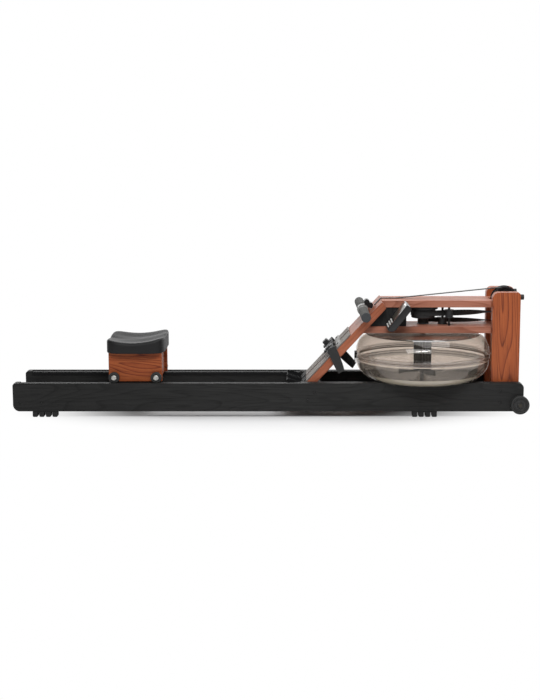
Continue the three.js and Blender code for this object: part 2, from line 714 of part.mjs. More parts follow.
// A rubber foot under a rail: a comb of lobes below a solid back.
function foot(name, centreX, side) {
  const lobe = (FOOT_LENGTH - (FOOT_LOBES - 1) * FOOT_SLIT) / FOOT_LOBES;
  const top = FOOT_HEIGHT - GAP;
  const left = centreX - FOOT_LENGTH / 2;
  const corners = [];
  for (let i = 0; i < FOOT_LOBES; i++) {
    const start = left + i * (lobe + FOOT_SLIT);
    if (i > 0) corners.push([start, FOOT_SLIT_HEIGHT]);
    corners.push([start, 0, FOOT_LOBE_RADIUS], [start + lobe, 0, FOOT_LOBE_RADIUS]);
    if (i + 1 < FOOT_LOBES) corners.push([start + lobe, FOOT_SLIT_HEIGHT]);
  }
  corners.push([left + FOOT_LENGTH, top], [left, top]);
  const middle = side * (RAIL_INNER + RAIL_OUTER) / 2;
  const comb = prismY(outline(corners), middle - FOOT_WIDTH / 2, middle + FOOT_WIDTH / 2, 2);
  piece(machine, name, comb, rubber);
}

// A castor wheel and the stub axle it turns on
function castor(wheelName, axleName, side) {
  const inside = RAIL_OUTER + CASTOR_SIDE_GAP;
  const outside = inside + CASTOR_WIDTH;
  const bore = CASTOR_AXLE_RADIUS + RUNNING_GAP;
  const wheel = [
    [bore, inside],
    [CASTOR_RADIUS - CASTOR_SHOULDER, inside],
    [CASTOR_RADIUS, inside + CASTOR_SHOULDER],
    [CASTOR_RADIUS, outside - CASTOR_SHOULDER],
    [CASTOR_RADIUS - CASTOR_SHOULDER, outside],
    [CASTOR_DISH_RADIUS + CASTOR_DISH, outside],
    [CASTOR_DISH_RADIUS, outside - CASTOR_DISH],
    [CASTOR_HUB_RADIUS, outside - CASTOR_DISH],
    [CASTOR_HUB_RADIUS, outside],
    [bore, outside],
    [bore, inside],
  ];
  const head = outside + RUNNING_GAP;
  const axle = [
    [0, RAIL_OUTER - CASTOR_AXLE_DEPTH],
    [CASTOR_AXLE_RADIUS, RAIL_OUTER - CASTOR_AXLE_DEPTH],
    [CASTOR_AXLE_RADIUS, head],
    [CASTOR_HEAD_RADIUS, head],
    [CASTOR_HEAD_RADIUS, head + CASTOR_HEAD_HEIGHT],
    [0, head + CASTOR_HEAD_HEIGHT],
  ];
  const toSide = (profile) => profile.map(([r, h]) => [r, side * h]);
  piece(machine, wheelName, turnedY(toSide(wheel), WHEEL_SIDES, CASTOR_X, 0, CASTOR_HEIGHT), rubber);
  piece(machine, axleName, turnedY(toSide(axle), SMALL_SIDES, CASTOR_X, 0, CASTOR_HEIGHT), steel);
}

// A front leg with blind bores for the axles of the pulleys
function leg(name, side) {
  const shape = outline([
    [LEG_REAR_X, FOOT_HEIGHT + LEG_LIFT],
    [LEG_FRONT_X, FOOT_HEIGHT + LEG_LIFT],
    [LEG_FRONT_X, LEG_TOP, LEG_FRONT_RADIUS],
    [LEG_REAR_X, LEG_TOP, LEG_REAR_RADIUS],
  ]);
  const faces = [side * LEG_INNER, side * LEG_OUTER];
  let post = prismY(shape, Math.min(...faces), Math.max(...faces));
  const bore = [side * (LEG_INNER - OVERRUN), side * (LEG_INNER + AXLE_DEPTH + GAP)];
  const boreProfile = rod(AXLE_RADIUS + RUNNING_GAP, Math.min(...bore), Math.max(...bore));
  const axles = [
    [PULLEY_X, PULLEY_Z],
    [RECOIL_X, recoilPulleyZ],
    [bottomPulleyX, BOTTOM_PULLEY_Z],
  ];
  for (const [x, z] of axles) {
    post = post.subtract(turnedY(boreProfile, SMALL_SIDES, x, 0, z));
  }
  piece(machine, name, post, stainedWood);
}

function bumper(name, side) {
  const start = LEG_FRONT_X + GAP;
  const profile = [
    [0, start],
    [BUMPER_RADIUS, start],
    [BUMPER_RADIUS, start + BUMPER_LENGTH - BUMPER_ROUND],
    [BUMPER_RADIUS - BUMPER_ROUND, start + BUMPER_LENGTH],
    [0, start + BUMPER_LENGTH],
  ];
  const middle = (side * (LEG_INNER + LEG_OUTER)) / 2;
  piece(machine, name, turnedX(profile, ROUND_SIDES, 0, middle, LEG_TOP - BUMPER_BELOW_TOP), rubber);
}

const beltHeight = LOWER_DECK_TOP + CLUTCH_LIFT + CLUTCH_FOOT_HEIGHT + RECOIL_BELT_WIDTH / 2 + GAP;
const strapHeight = UPPER_DECK_BOTTOM - CLUTCH_TOP_GAP - CLUTCH_FLANGE_HEIGHT - CLUTCH_STRAP_DROP;
const beltOut = GAP + BELT_THICKNESS / 2;
const recoilPulleyZ = beltHeight - RECOIL_PULLEY_RADIUS - beltOut;
const bottomPulleyX = RECOIL_X + beltOut - GAP - BUNGEE_RADIUS;

rail("right_rail", -1);
rail("left_rail", 1);
track("right_track", -1);
track("left_track", 1);
const rearBoardX = RAIL_REAR_X + REAR_BOARD_SETBACK;
const rearBoardZ = FOOT_HEIGHT + REAR_BOARD_HEIGHT;
piece(
  machine,
  "rear_crossboard",
  block(
    rearBoardX,
    rearBoardX + REAR_BOARD_WIDTH,
    -RAIL_INNER + GAP,
    RAIL_INNER - GAP,
    rearBoardZ,
    rearBoardZ + REAR_BOARD_THICKNESS,
  ),
  blackWood,
);
const rearFootX = RAIL_REAR_X + FOOT_REAR_SETBACK;
const frontFootX = TANK_X + FOOT_TANK_OFFSET;
foot("rear_right_foot", rearFootX, -1);
foot("rear_left_foot", rearFootX, 1);
foot("front_right_foot", frontFootX, -1);
foot("front_left_foot", frontFootX, 1);
castor("right_castor_wheel", "right_castor_axle", -1);
castor("left_castor_wheel", "left_castor_axle", 1);
leg("right_leg", -1);
leg("left_leg", 1);
bumper("right_bumper", -1);
bumper("left_bumper", 1);
piece(
  machine,
  "tank_shelf",
  block(
    TANK_X - TANK_SHELF_LENGTH / 2,
    TANK_X + TANK_SHELF_LENGTH / 2,
    -RAIL_INNER + GAP,
    RAIL_INNER - GAP,
    TANK_BOTTOM - GAP - TANK_SHELF_THICKNESS,
    TANK_BOTTOM - GAP,
  ),
  blackWood,
);

// Footboard, its brace and the two deck boards, mitred where they meet
const mitreFront = boardLength(UPPER_DECK_TOP, 0);
const mitreBack = boardLength(UPPER_DECK_BOTTOM, -BOARD_THICKNESS);
const footboardOutline = outline([
  [-BOARD_BELOW_RAIL, 0],
  [mitreFront, 0],
  [mitreBack, -BOARD_THICKNESS],
  [-BOARD_BELOW_RAIL, -BOARD_THICKNESS],
]);
piece(board, "footboard", prismY(footboardOutline, -BOARD_HALF, BOARD_HALF), stainedWood);
const braceOutline = rectangle(
  BRACE_START,
  BRACE_START + BRACE_WIDTH,
  -BOARD_THICKNESS - GAP - BRACE_THICKNESS,
  -BOARD_THICKNESS - GAP,
);
piece(board, "footboard_brace", prismY(braceOutline, -RAIL_INNER + GAP, RAIL_INNER - GAP), blackWood);

// A deck board: its end is slotted for a pulley, and pins stand in blind or open bores.
function deck(name, frontCorners, bottom, top, slotX, bores) {
  const shape = outline([
    [frontCorners[0], bottom],
    [DECK_END_X, bottom],
    [DECK_END_X, top],
    [frontCorners[1], top],
  ]);
  let plank = prismY(shape, -DECK_HALF, DECK_HALF);
  plank = plank.subtract(
    block(slotX, DECK_END_X + OVERRUN, -DECK_SLOT_HALF, DECK_SLOT_HALF, bottom - OVERRUN, top + OVERRUN),
  );
  for (const { radius, x, y, low, high } of bores) {
    plank = plank.subtract(turnedZ(rod(radius, low, high), SMALL_SIDES, x, y));
  }
  piece(machine, name, plank, stainedWood);
}

// The strap's straight line from the top pulley to the clutch drum, and the belt's from the hub
const windingRadius = CLUTCH_DRUM_RADIUS + beltOut;
const hubRadius = CLUTCH_HUB_RADIUS + beltOut;
const strapAngle = Math.asin(windingRadius / (PULLEY_X - TANK_X));
const beltAngle = Math.asin(hubRadius / (RECOIL_X - TANK_X));
const strapY = (x) => -(PULLEY_X - x) * Math.tan(strapAngle);
const beltY = (x) => (RECOIL_X - x) * Math.tan(beltAngle);
const idlerY = strapY(IDLER_X) - (IDLER_RADIUS + beltOut) / Math.cos(strapAngle);
const guideY = beltY(GUIDE_X) - (GUIDE_RADIUS + beltOut) / Math.cos(beltAngle);

const pins = [
  [IDLER_X, idlerY],
  [GUIDE_X, guideY],
];
const pinBore = PIN_RADIUS + RUNNING_GAP;
const shaftBore = SHAFT_RADIUS + RUNNING_GAP;
deck(
  "lower_deck",
  [boardX(LOWER_DECK_BOTTOM, -BOARD_THICKNESS - GAP), boardX(LOWER_DECK_TOP, -BOARD_THICKNESS - GAP)],
  LOWER_DECK_BOTTOM,
  LOWER_DECK_TOP,
  RECOIL_X - RECOIL_PULLEY_FLANGE_RADIUS - DECK_SLOT_CLEARANCE,
  [
    { radius: shaftBore, x: TANK_X, y: 0, low: LOWER_DECK_BOTTOM - OVERRUN, high: LOWER_DECK_TOP + OVERRUN },
    ...pins.map(([x, y]) => ({
      radius: pinBore,
      x,
      y,
      low: LOWER_DECK_TOP - PIN_SOCKET_DEPTH - GAP,
      high: LOWER_DECK_TOP + OVERRUN,
    })),
  ],
);
const mitreGap = GAP / BOARD_SIN;
deck(
  "upper_deck",
  [boardX(UPPER_DECK_BOTTOM, -BOARD_THICKNESS) + mitreGap, boardX(UPPER_DECK_TOP, 0) + mitreGap],
  UPPER_DECK_BOTTOM,
  UPPER_DECK_TOP,
  PULLEY_X - PULLEY_RADIUS - DECK_SLOT_CLEARANCE,
  [
    {
      radius: shaftBore,
      x: TANK_X,
      y: 0,
      low: UPPER_DECK_BOTTOM - OVERRUN,
      high: UPPER_DECK_BOTTOM + PIN_SOCKET_DEPTH + GAP,
    },
    ...pins.map(([x, y]) => ({
      radius: pinBore,
      x,
      y,
      low: UPPER_DECK_BOTTOM - OVERRUN,
      high: UPPER_DECK_BOTTOM + PIN_SOCKET_DEPTH + GAP,
    })),
  ],
);
const fillerHalf = DECK_HALF - FILLER_RECESS;
const fillerOutline = outline([
  [boardX(LOWER_DECK_TOP + GAP, -BOARD_THICKNESS - GAP), LOWER_DECK_TOP + GAP],
  [FILLER_END_X, LOWER_DECK_TOP + GAP],
  [FILLER_END_X, UPPER_DECK_BOTTOM - GAP],
  [boardX(UPPER_DECK_BOTTOM - GAP, -BOARD_THICKNESS - GAP), UPPER_DECK_BOTTOM - GAP],
]);
piece(machine, "deck_filler", prismY(fillerOutline, -fillerHalf, fillerHalf), blackWood);

// Foot rests on the footboard
const footTrackFront = GAP + FOOT_TRACK_RIB;

function footTrack(name, side) {
  const inner = FOOT_TRACK_MIDDLE_GAP;
  const outer = FOOT_TRACK_MIDDLE_GAP + FOOT_TRACK_WIDTH;
  const middle = (inner + outer) / 2;
  const section = [
    [inner, GAP],
    [outer, GAP],
    [outer, footTrackFront],
    [outer - FOOT_TRACK_RIB_WIDTH, footTrackFront],
    [outer - FOOT_TRACK_RIB_WIDTH, GAP + FOOT_TRACK_PLATE],
    [middle + FOOT_TRACK_RIB_WIDTH / 2, GAP + FOOT_TRACK_PLATE],
    [middle + FOOT_TRACK_RIB_WIDTH / 2, footTrackFront],
    [middle - FOOT_TRACK_RIB_WIDTH / 2, footTrackFront],
    [middle - FOOT_TRACK_RIB_WIDTH / 2, GAP + FOOT_TRACK_PLATE],
    [inner + FOOT_TRACK_RIB_WIDTH, GAP + FOOT_TRACK_PLATE],
    [inner + FOOT_TRACK_RIB_WIDTH, footTrackFront],
    [inner, footTrackFront],
  ].map(([y, n]) => [side * y, n]);
  const plate = prismX(outline(section), FOOT_TRACK_START, FOOT_TRACK_START + FOOT_TRACK_LENGTH);
  piece(board, name, plate, greyPlastic);
}

// A heel rest: a back that lies on the track, a floor with ribs, and two cheeks.
function heelRest(name, side) {
  const middle = side * (FOOT_TRACK_MIDDLE_GAP + FOOT_TRACK_WIDTH / 2);
  const near = middle - HEEL_WIDTH / 2;
  const far = middle + HEEL_WIDTH / 2;
  const back = footTrackFront + GAP;
  const lip = back + HEEL_REACH;
  const floor = HEEL_FLOOR_START;
  const shell = outline([
    [floor, back, HEEL_CORNER],
    [floor + HEEL_BASE_LENGTH, back],
    [floor + HEEL_BASE_LENGTH, back + HEEL_WALL],
    [floor + HEEL_WALL, back + HEEL_WALL, HEEL_CORNER - HEEL_WALL],
    [floor + HEEL_WALL, lip],
    [floor, lip],
  ]);
  const cheek = outline([
    [floor, back, HEEL_CORNER],
    [floor + HEEL_SIDE_HEIGHT, back],
    [floor + HEEL_SIDE_HEIGHT, back + HEEL_SIDE_FOOT, HEEL_CORNER],
    [floor + HEEL_SIDE_FOOT, lip],
    [floor, lip],
  ]);
  let rest = prismY(shell, near, far, 4)
    .add(prismY(cheek, near, near + HEEL_WALL, 4))
    .add(prismY(cheek, far - HEEL_WALL, far, 4));
  const pitch = (HEEL_REACH - HEEL_CORNER * 2) / (HEEL_RIBS - 1);
  for (let i = 0; i < HEEL_RIBS; i++) {
    const at = back + HEEL_CORNER + i * pitch;
    const rib = rectangle(floor + HEEL_WALL / 2, floor + HEEL_WALL + HEEL_RIB_HEIGHT, at, at + HEEL_RIB_HEIGHT);
    rest = rest.add(prismY(rib, near + HEEL_WALL / 2, far - HEEL_WALL / 2));
  }
  piece(board, name, rest, blackPlastic);
}

// A foot strap: an arch of webbing over the track, its hanging tail and the cam buckle on top.
function footStrap(name, side, tailDrop, tailReach, leverHeight) {
  const inner = FOOT_TRACK_MIDDLE_GAP;
  const outer = BOARD_HALF + GAP + STRAP_THICKNESS / 2;
  const base = footTrackFront + GAP;
  const reach = (outer - inner) / 2;
  const middle = (outer + inner) / 2;
  const arch = shares(STRAP_ARCH_STEPS).map((share) => {
    const angle = Math.PI * (1 - share);
    const y = middle + reach * Math.cos(angle);
    const n = base + STRAP_RISE * Math.sqrt(Math.sin(angle));
    return new THREE.Vector3(STRAP_PLACE, side * y, n);
  });
  const out = (i) => {
    const before = arch[Math.max(i - 1, 0)];
    const after = arch[Math.min(i + 1, arch.length - 1)];
    const along = after.clone().sub(before).normalize();
    return new THREE.Vector3(0, -side * along.z, side * along.y);
  };
  const stations = arch.map((at, i) => ({ at, across: AXIS_X, out: out(i) }));
  const end = arch[arch.length - 1];
  const slant = Math.atan2(tailReach, tailDrop);
  const downS = -BOARD_SIN * Math.cos(slant) + BOARD_COS * Math.sin(slant);
  const downN = -BOARD_COS * Math.cos(slant) - BOARD_SIN * Math.sin(slant);
  const down = new THREE.Vector3(downS, 0, downN);
  const broad = new THREE.Vector3(-downN, 0, downS);
  const length = Math.hypot(tailDrop, tailReach);
  const tail = shares(TAIL_STEPS).map((share) => ({
    at: end
      .clone()
      .addScaledVector(down, length * share - STRAP_WIDTH / 2)
      .addScaledVector(AXIS_Y, side * TAIL_SAG * share),
    across: broad.clone().applyAxisAngle(down, TAIL_TWIST * share * share),
    out: AXIS_Y.clone().applyAxisAngle(down, TAIL_TWIST * share * share),
  }));
  const top = base + STRAP_RISE;
  const frame = rectangle(
    BUCKLE_PLACE - BUCKLE_LENGTH / 2,
    BUCKLE_PLACE + BUCKLE_LENGTH / 2,
    top - STRAP_THICKNESS,
    top + BUCKLE_HEIGHT,
    BUCKLE_ROUND,
  );
  const lever = rectangle(
    BUCKLE_LEVER_START,
    BUCKLE_LEVER_START + BUCKLE_LEVER_LENGTH,
    top,
    top + BUCKLE_HEIGHT + leverHeight,
    BUCKLE_ROUND,
  );
  const at = side * middle;
  const buckle = prismY(frame, at - BUCKLE_WIDTH / 2, at + BUCKLE_WIDTH / 2, 2).add(
    prismY(lever, at - BUCKLE_WIDTH / 2 + BUCKLE_ROUND, at + BUCKLE_WIDTH / 2 - BUCKLE_ROUND, 2),
  );
  const strap = band(stations, STRAP_WIDTH, STRAP_THICKNESS).add(band(tail, STRAP_WIDTH, STRAP_THICKNESS));
  piece(board, name, strap.add(buckle), webbing);
}

footTrack("right_foot_track", -1);
footTrack("left_foot_track", 1);
heelRest("right_heel_rest", -1);
heelRest("left_heel_rest", 1);
footStrap("right_foot_strap", -1, RIGHT_TAIL_DROP, RIGHT_TAIL_REACH, SHUT_LEVER_HEIGHT);
footStrap("left_foot_strap", 1, LEFT_TAIL_DROP, LEFT_TAIL_REACH, OPEN_LEVER_HEIGHT);

// Paddle: a shaft, and a rotor with a narrow mast above four swept blades
const shaftBottom = TANK_BOTTOM + SHAFT_SOCKET_FLOOR + GAP;
const shaftTop = UPPER_DECK_BOTTOM + PIN_SOCKET_DEPTH;
piece(machine, "paddle_shaft", turnedZ(rod(SHAFT_RADIUS, shaftBottom, shaftTop), SMALL_SIDES, TANK_X), steel);

function bladeOutline() {
  const edge = (offset) =>
    shares(ROTOR_BLADE_STEPS).map((share) => {
      const radius = mix(0, ROTOR_RADIUS, share);
      const angle = ROTOR_BLADE_SWEEP * share * share;
      return [
        radius * Math.cos(angle) - offset * Math.sin(angle),
        radius * Math.sin(angle) + offset * Math.cos(angle),
      ];
    });
  const half = ROTOR_BLADE_THICKNESS / 2;
  return outline([...edge(-half), ...edge(half).reverse()]);
}

function paddleRotor() {
  const bottom = TANK_BOTTOM + SHAFT_SOCKET_FLOOR + SHAFT_SOCKET_HEIGHT + ROTOR_BOTTOM_GAP;
  const bladeTop = bottom + ROTOR_BLADE_HEIGHT;
  const top = DOME_TOP - DOME_RIM_DROP - TANK_WALL - ROTOR_TOP_GAP;
  const half = ROTOR_BLADE_THICKNESS / 2;
  let rotor = turnedZ(rod(ROTOR_HUB_RADIUS, bottom, top), SMALL_SIDES);
  for (let i = 0; i < ROTOR_BLADES; i++) {
    const angle = (i * 360) / ROTOR_BLADES;
    rotor = rotor.add(prismZ(bladeOutline(), bottom, bladeTop).rotate([0, 0, angle]));
    rotor = rotor.add(block(0, ROTOR_MAST_HALF, -half, half, bottom, top).rotate([0, 0, angle]));
  }
  const bore = turnedZ(rod(SHAFT_RADIUS + GAP, bottom - OVERRUN, top + OVERRUN), SMALL_SIDES);
  return rotor.subtract(bore).translate([TANK_X, 0, 0]);
}
piece(machine, "paddle_rotor", paddleRotor(), paddlePlastic);

// Clutch drum: foot and hub for the recoil belt, drum for the strap, flange on top
const clutchBottom = LOWER_DECK_TOP + CLUTCH_LIFT;
const drumTop = UPPER_DECK_BOTTOM - CLUTCH_TOP_GAP - CLUTCH_FLANGE_HEIGHT;
const drumBottom = drumTop - CLUTCH_DRUM_HEIGHT;
const clutchProfile = [
  [shaftBore, clutchBottom],
  [CLUTCH_FOOT_RADIUS, clutchBottom],
  [CLUTCH_FOOT_RADIUS, clutchBottom + CLUTCH_FOOT_HEIGHT],
  [CLUTCH_HUB_RADIUS, clutchBottom + CLUTCH_FOOT_HEIGHT],
  [CLUTCH_HUB_RADIUS, drumBottom],
  [CLUTCH_DRUM_RADIUS - CLUTCH_BEVEL, drumBottom],
  [CLUTCH_DRUM_RADIUS, drumBottom + CLUTCH_BEVEL],
  [CLUTCH_DRUM_RADIUS, drumTop],
  [CLUTCH_FLANGE_RADIUS, drumTop],
  [CLUTCH_FLANGE_RADIUS, drumTop + CLUTCH_FLANGE_HEIGHT - CLUTCH_BEVEL],
  [CLUTCH_FLANGE_RADIUS - CLUTCH_BEVEL, drumTop + CLUTCH_FLANGE_HEIGHT],
  [shaftBore, drumTop + CLUTCH_FLANGE_HEIGHT],
  [shaftBore, clutchBottom],
];
piece(machine, "clutch_drum", turnedZ(clutchProfile, WHEEL_SIDES, TANK_X), blackPlastic);

// A roller on its pin between the deck boards, with a flange at each end of its face
function roller(name, x, y, radius, flangeRadius, low, high) {
  const profile = [
    [0, LOWER_DECK_TOP - PIN_SOCKET_DEPTH],
    [PIN_RADIUS, LOWER_DECK_TOP - PIN_SOCKET_DEPTH],
    [PIN_RADIUS, low - IDLER_FLANGE_HEIGHT],
    [flangeRadius, low - IDLER_FLANGE_HEIGHT],
    [flangeRadius, low],
    [radius, low],
    [radius, high],
    [flangeRadius, high],
    [flangeRadius, high + IDLER_FLANGE_HEIGHT],
    [PIN_RADIUS, high + IDLER_FLANGE_HEIGHT],
    [PIN_RADIUS, UPPER_DECK_BOTTOM + PIN_SOCKET_DEPTH],
    [0, UPPER_DECK_BOTTOM + PIN_SOCKET_DEPTH],
  ];
  piece(machine, name, turnedZ(profile, ROUND_SIDES, x, y), blackPlastic);
}
const strapHalf = DRIVE_STRAP_WIDTH / 2 + ROLLER_CLEARANCE;
const beltHalf = RECOIL_BELT_WIDTH / 2 + ROLLER_CLEARANCE;
roller(
  "strap_idler",
  IDLER_X,
  idlerY,
  IDLER_RADIUS,
  IDLER_FLANGE_RADIUS,
  strapHeight - strapHalf,
  strapHeight + strapHalf,
);
roller(
  "recoil_guide",
  GUIDE_X,
  guideY,
  GUIDE_RADIUS,
  GUIDE_FLANGE_RADIUS,
  beltHeight - beltHalf,
  beltHeight + beltHalf,
);

// A flanged pulley between the legs, turned in one piece with its axle
function pulley(name, x, z, flangeRadius, grooveRadius, width, flange) {
  const axleEnd = LEG_INNER + AXLE_DEPTH;
  const halfProfile = [
    [0, axleEnd],
    [AXLE_RADIUS, axleEnd],
    [AXLE_RADIUS, width / 2 + flange],
    [PULLEY_HUB_RADIUS, width / 2 + flange],
    [PULLEY_HUB_RADIUS, width / 2],
    [flangeRadius, width / 2],
    [flangeRadius, width / 2 - flange],
    [grooveRadius, width / 2 - flange],
  ];
  const otherHalf = halfProfile.map(([r, h]) => [r, -h]).reverse();
  piece(machine, name, turnedY([...halfProfile, ...otherHalf], WHEEL_SIDES, x, 0, z), blackPlastic);
}
pulley("top_pulley", PULLEY_X, PULLEY_Z, PULLEY_RADIUS, PULLEY_GROOVE_RADIUS, PULLEY_WIDTH, PULLEY_FLANGE);
for (const [name, x, z] of [
  ["recoil_pulley", RECOIL_X, recoilPulleyZ],
  ["bottom_pulley", bottomPulleyX, BOTTOM_PULLEY_Z],
]) {
  pulley(
    name,
    x,
    z,
    RECOIL_PULLEY_FLANGE_RADIUS,
    RECOIL_PULLEY_RADIUS,
    RECOIL_PULLEY_WIDTH,
    RECOIL_PULLEY_FLANGE,
  );
}

// Stations of a band round an upright axis, between two angles
function upright(x, y, z, radius, from, to, steps) {
  return shares(steps).map((share) => {
    const angle = mix(from, to, share);
    const out = new THREE.Vector3(Math.cos(angle), Math.sin(angle), 0);
    return { at: new THREE.Vector3(x, y, z).addScaledVector(out, radius), across: AXIS_Z, out };
  });
}

// Stations of a band round a level axis, between two angles
function level(x, z, radius, from, to, steps) {
  return shares(steps).map((share) => {
    const angle = mix(from, to, share);
    const out = new THREE.Vector3(Math.cos(angle), 0, Math.sin(angle));
    return { at: new THREE.Vector3(x, 0, z).addScaledVector(out, radius), across: AXIS_Y.clone().negate(), out };
  });
}

// Stations of a straight stretch that turns a quarter about its own line
function twist(start, end, steps) {
  return shares(steps)
    .slice(1, -1)
    .map((share) => {
      const turn = (Math.PI / 2) * THREE.MathUtils.smoothstep(share, 0, 1);
      const at = start.at.clone().lerp(end.at, share);
      const across = start.across
        .clone()
        .multiplyScalar(Math.cos(turn))
        .addScaledVector(end.across, Math.sin(turn))
        .normalize();
      const along = end.at.clone().sub(start.at).normalize();
      const out = new THREE.Vector3().crossVectors(across, along).normalize();
      return { at, across, out: out.dot(start.out) + out.dot(end.out) > 0 ? out : out.negate() };
    });
}

// The point of the straight line between two stations that lies at x
const stationAt = (start, end, x) =>
  start.at.clone().lerp(end.at, (x - start.at.x) / (end.at.x - start.at.x));

// Drive strap: over the top pulley, a quarter twist, past the idler and once round the drum
const quarter = Math.PI / 2;
const pulleyWrapRadius = PULLEY_GROOVE_RADIUS + beltOut;
const overPulley = level(PULLEY_X, PULLEY_Z, pulleyWrapRadius, quarter, -quarter, OVER_STEPS);
const drumWrap = upright(
  TANK_X,
  0,
  strapHeight,
  windingRadius,
  -quarter + strapAngle,
  -quarter + strapAngle - WRAP_ANGLE,
  WRAP_STEPS,
);
const leavesPulley = overPulley[overPulley.length - 1];
const beforeIdler = stationAt(leavesPulley, drumWrap[0], IDLER_X + TWIST_MARGIN);
const strapTwist = twist(leavesPulley, { ...drumWrap[0], at: beforeIdler }, TWIST_STEPS);
const uprightStrap = { ...drumWrap[0], at: beforeIdler };
const driveStrap = band(
  [...overPulley, ...strapTwist, uprightStrap, ...drumWrap],
  DRIVE_STRAP_WIDTH,
  BELT_THICKNESS,
);
piece(machine, "drive_strap", driveStrap, webbing);

// Recoil belt: round the hub, past the guide, a quarter twist, over the recoil pulley and down
const hubWrap = upright(
  TANK_X,
  0,
  beltHeight,
  hubRadius,
  quarter - beltAngle + WRAP_ANGLE,
  quarter - beltAngle,
  WRAP_STEPS,
);
const recoilRadius = RECOIL_PULLEY_RADIUS + beltOut;
const overRecoil = level(RECOIL_X, recoilPulleyZ, recoilRadius, quarter, 0, OVER_STEPS);
const leavesHub = hubWrap[hubWrap.length - 1];
const uprightBelt = { ...leavesHub, at: stationAt(leavesHub, overRecoil[0], GUIDE_X + TWIST_MARGIN) };
const beltTwist = twist(uprightBelt, overRecoil[0], TWIST_STEPS);
const lastOver = overRecoil[overRecoil.length - 1];
const beltEnd = { ...lastOver, at: new THREE.Vector3(lastOver.at.x, 0, BELT_END_Z) };
const recoilBelt = band(
  [...hubWrap, uprightBelt, ...beltTwist, ...overRecoil, beltEnd],
  RECOIL_BELT_WIDTH,
  BELT_THICKNESS,
);
piece(machine, "recoil_belt", recoilBelt, webbing);

// Bungee cord: down from the belt, round the bottom pulley and back under the tank to the brace
function bungee() {
  const radius = RECOIL_PULLEY_RADIUS + GAP + BUNGEE_RADIUS;
  const centre = new THREE.Vector3(bottomPulleyX, 0, BOTTOM_PULLEY_Z);
  const centres = [new THREE.Vector3(lastOver.at.x, 0, BELT_END_Z - GAP)];
  const outs = [AXIS_X.clone()];
  for (const share of shares(BUNGEE_BEND_STEPS)) {
    const out = new THREE.Vector3(Math.cos(quarter * share), 0, -Math.sin(quarter * share));
    centres.push(centre.clone().addScaledVector(out, radius));
    outs.push(out);
  }
  const last = centres[centres.length - 1];
  centres.push(new THREE.Vector3(BOARD_X, 0, last.z));
  outs.push(outs[outs.length - 1]);
  const rings = centres.map((at, i) =>
    Array.from({ length: BUNGEE_SIDES }, (_, k) => {
      const angle = (2 * Math.PI * k) / BUNGEE_SIDES;
      return at
        .clone()
        .addScaledVector(outs[i], BUNGEE_RADIUS * Math.cos(angle))
        .addScaledVector(AXIS_Y, BUNGEE_RADIUS * Math.sin(angle));
    }),
  );
  const behindBoard = outline([
    [boardX(0, -BOARD_THICKNESS - BRACE_THICKNESS - GAP * 2), 0],
    [boardX(RAIL_TOP, -BOARD_THICKNESS - BRACE_THICKNESS - GAP * 2), RAIL_TOP],
    [RAIL_REAR_X, RAIL_TOP],
    [RAIL_REAR_X, 0],
  ]);
  return skin(rings).subtract(prismY(behindBoard, -RAIL_INNER, RAIL_INNER));
}
piece(machine, "recoil_bungee", bungee(), webbing);

// Free stretch of the strap: up the footboard, over its top edge, along the deck and up to the pulley
function handleStrap() {
  const lift = GAP + BELT_THICKNESS / 2;
  const boardOut = new THREE.Vector3(-BOARD_SIN, 0, BOARD_COS);
  const start = boardPlace(HANDLE_PLACE + CLIP_REACH + CLIP_LOBE_RADIUS + GAP, lift);
  const edge = boardPlace(mitreFront, lift);
  const deckStart = boardPlace(mitreFront, 0).x;
  const top = new THREE.Vector3(PULLEY_X, 0, PULLEY_Z + pulleyWrapRadius);
  const rest = new THREE.Vector3(deckStart + STRAP_ON_DECK, 0, UPPER_DECK_TOP + lift);
  const rising = top.clone().sub(rest).normalize();
  const risingOut = new THREE.Vector3(-rising.z, 0, rising.x);
  const across = AXIS_Y.clone().negate();
  const middleOut = boardOut.clone().add(AXIS_Z).normalize();
  const bend = new THREE.Vector3(deckStart, 0, UPPER_DECK_TOP).addScaledVector(middleOut, lift + GAP);
  return band(
    [
      { at: new THREE.Vector3(start.x, 0, start.z), across, out: boardOut },
      { at: new THREE.Vector3(edge.x, 0, edge.z).lerp(bend, 1 / 2), across, out: boardOut },
      { at: bend, across, out: middleOut },
      { at: rest, across, out: AXIS_Z },
      { at: top.clone().addScaledVector(rising, -GAP), across, out: risingOut },
    ],
    DRIVE_STRAP_WIDTH,
    BELT_THICKNESS,
  );
}
piece(machine, "handle_strap", handleStrap(), webbing);

// Handle: it leans on the near edge of the footboard
const handle = new THREE.Group();
handle.position.set(HANDLE_PLACE, 0, GRIP_RADIUS + GAP + BOARD_HALF * Math.sin(HANDLE_LEAN));
handle.rotation.x = HANDLE_LEAN;
board.add(handle);

function handleGrip(name, side) {
  const end = HANDLE_LENGTH / 2;
  const start = end - GRIP_LENGTH;
  const inner = BAR_RADIUS + GAP;
  const profile = [
    [inner, start],
    [GRIP_RADIUS, start],
    [GRIP_RADIUS, end - GRIP_END_ROUND],
    [GRIP_RADIUS - GRIP_END_ROUND, end],
    [0, end],
    [0, end - GRIP_END_THICKNESS],
    [inner, end - GRIP_END_THICKNESS],
    [inner, start],
  ].map(([r, h]) => [r, side * h]);
  piece(handle, name, turnedY(profile, ROUND_SIDES), gripFoam);
}
const barEnd = HANDLE_LENGTH / 2 - GRIP_END_THICKNESS - GAP;
const sleeveEnd = HANDLE_LENGTH / 2 - GRIP_LENGTH - GAP;
const barProfile = [
  [0, -barEnd],
  [BAR_RADIUS, -barEnd],
  [BAR_RADIUS, -sleeveEnd],
  [SLEEVE_RADIUS, -sleeveEnd],
  [SLEEVE_RADIUS, sleeveEnd],
  [BAR_RADIUS, sleeveEnd],
  [BAR_RADIUS, barEnd],
  [0, barEnd],
];
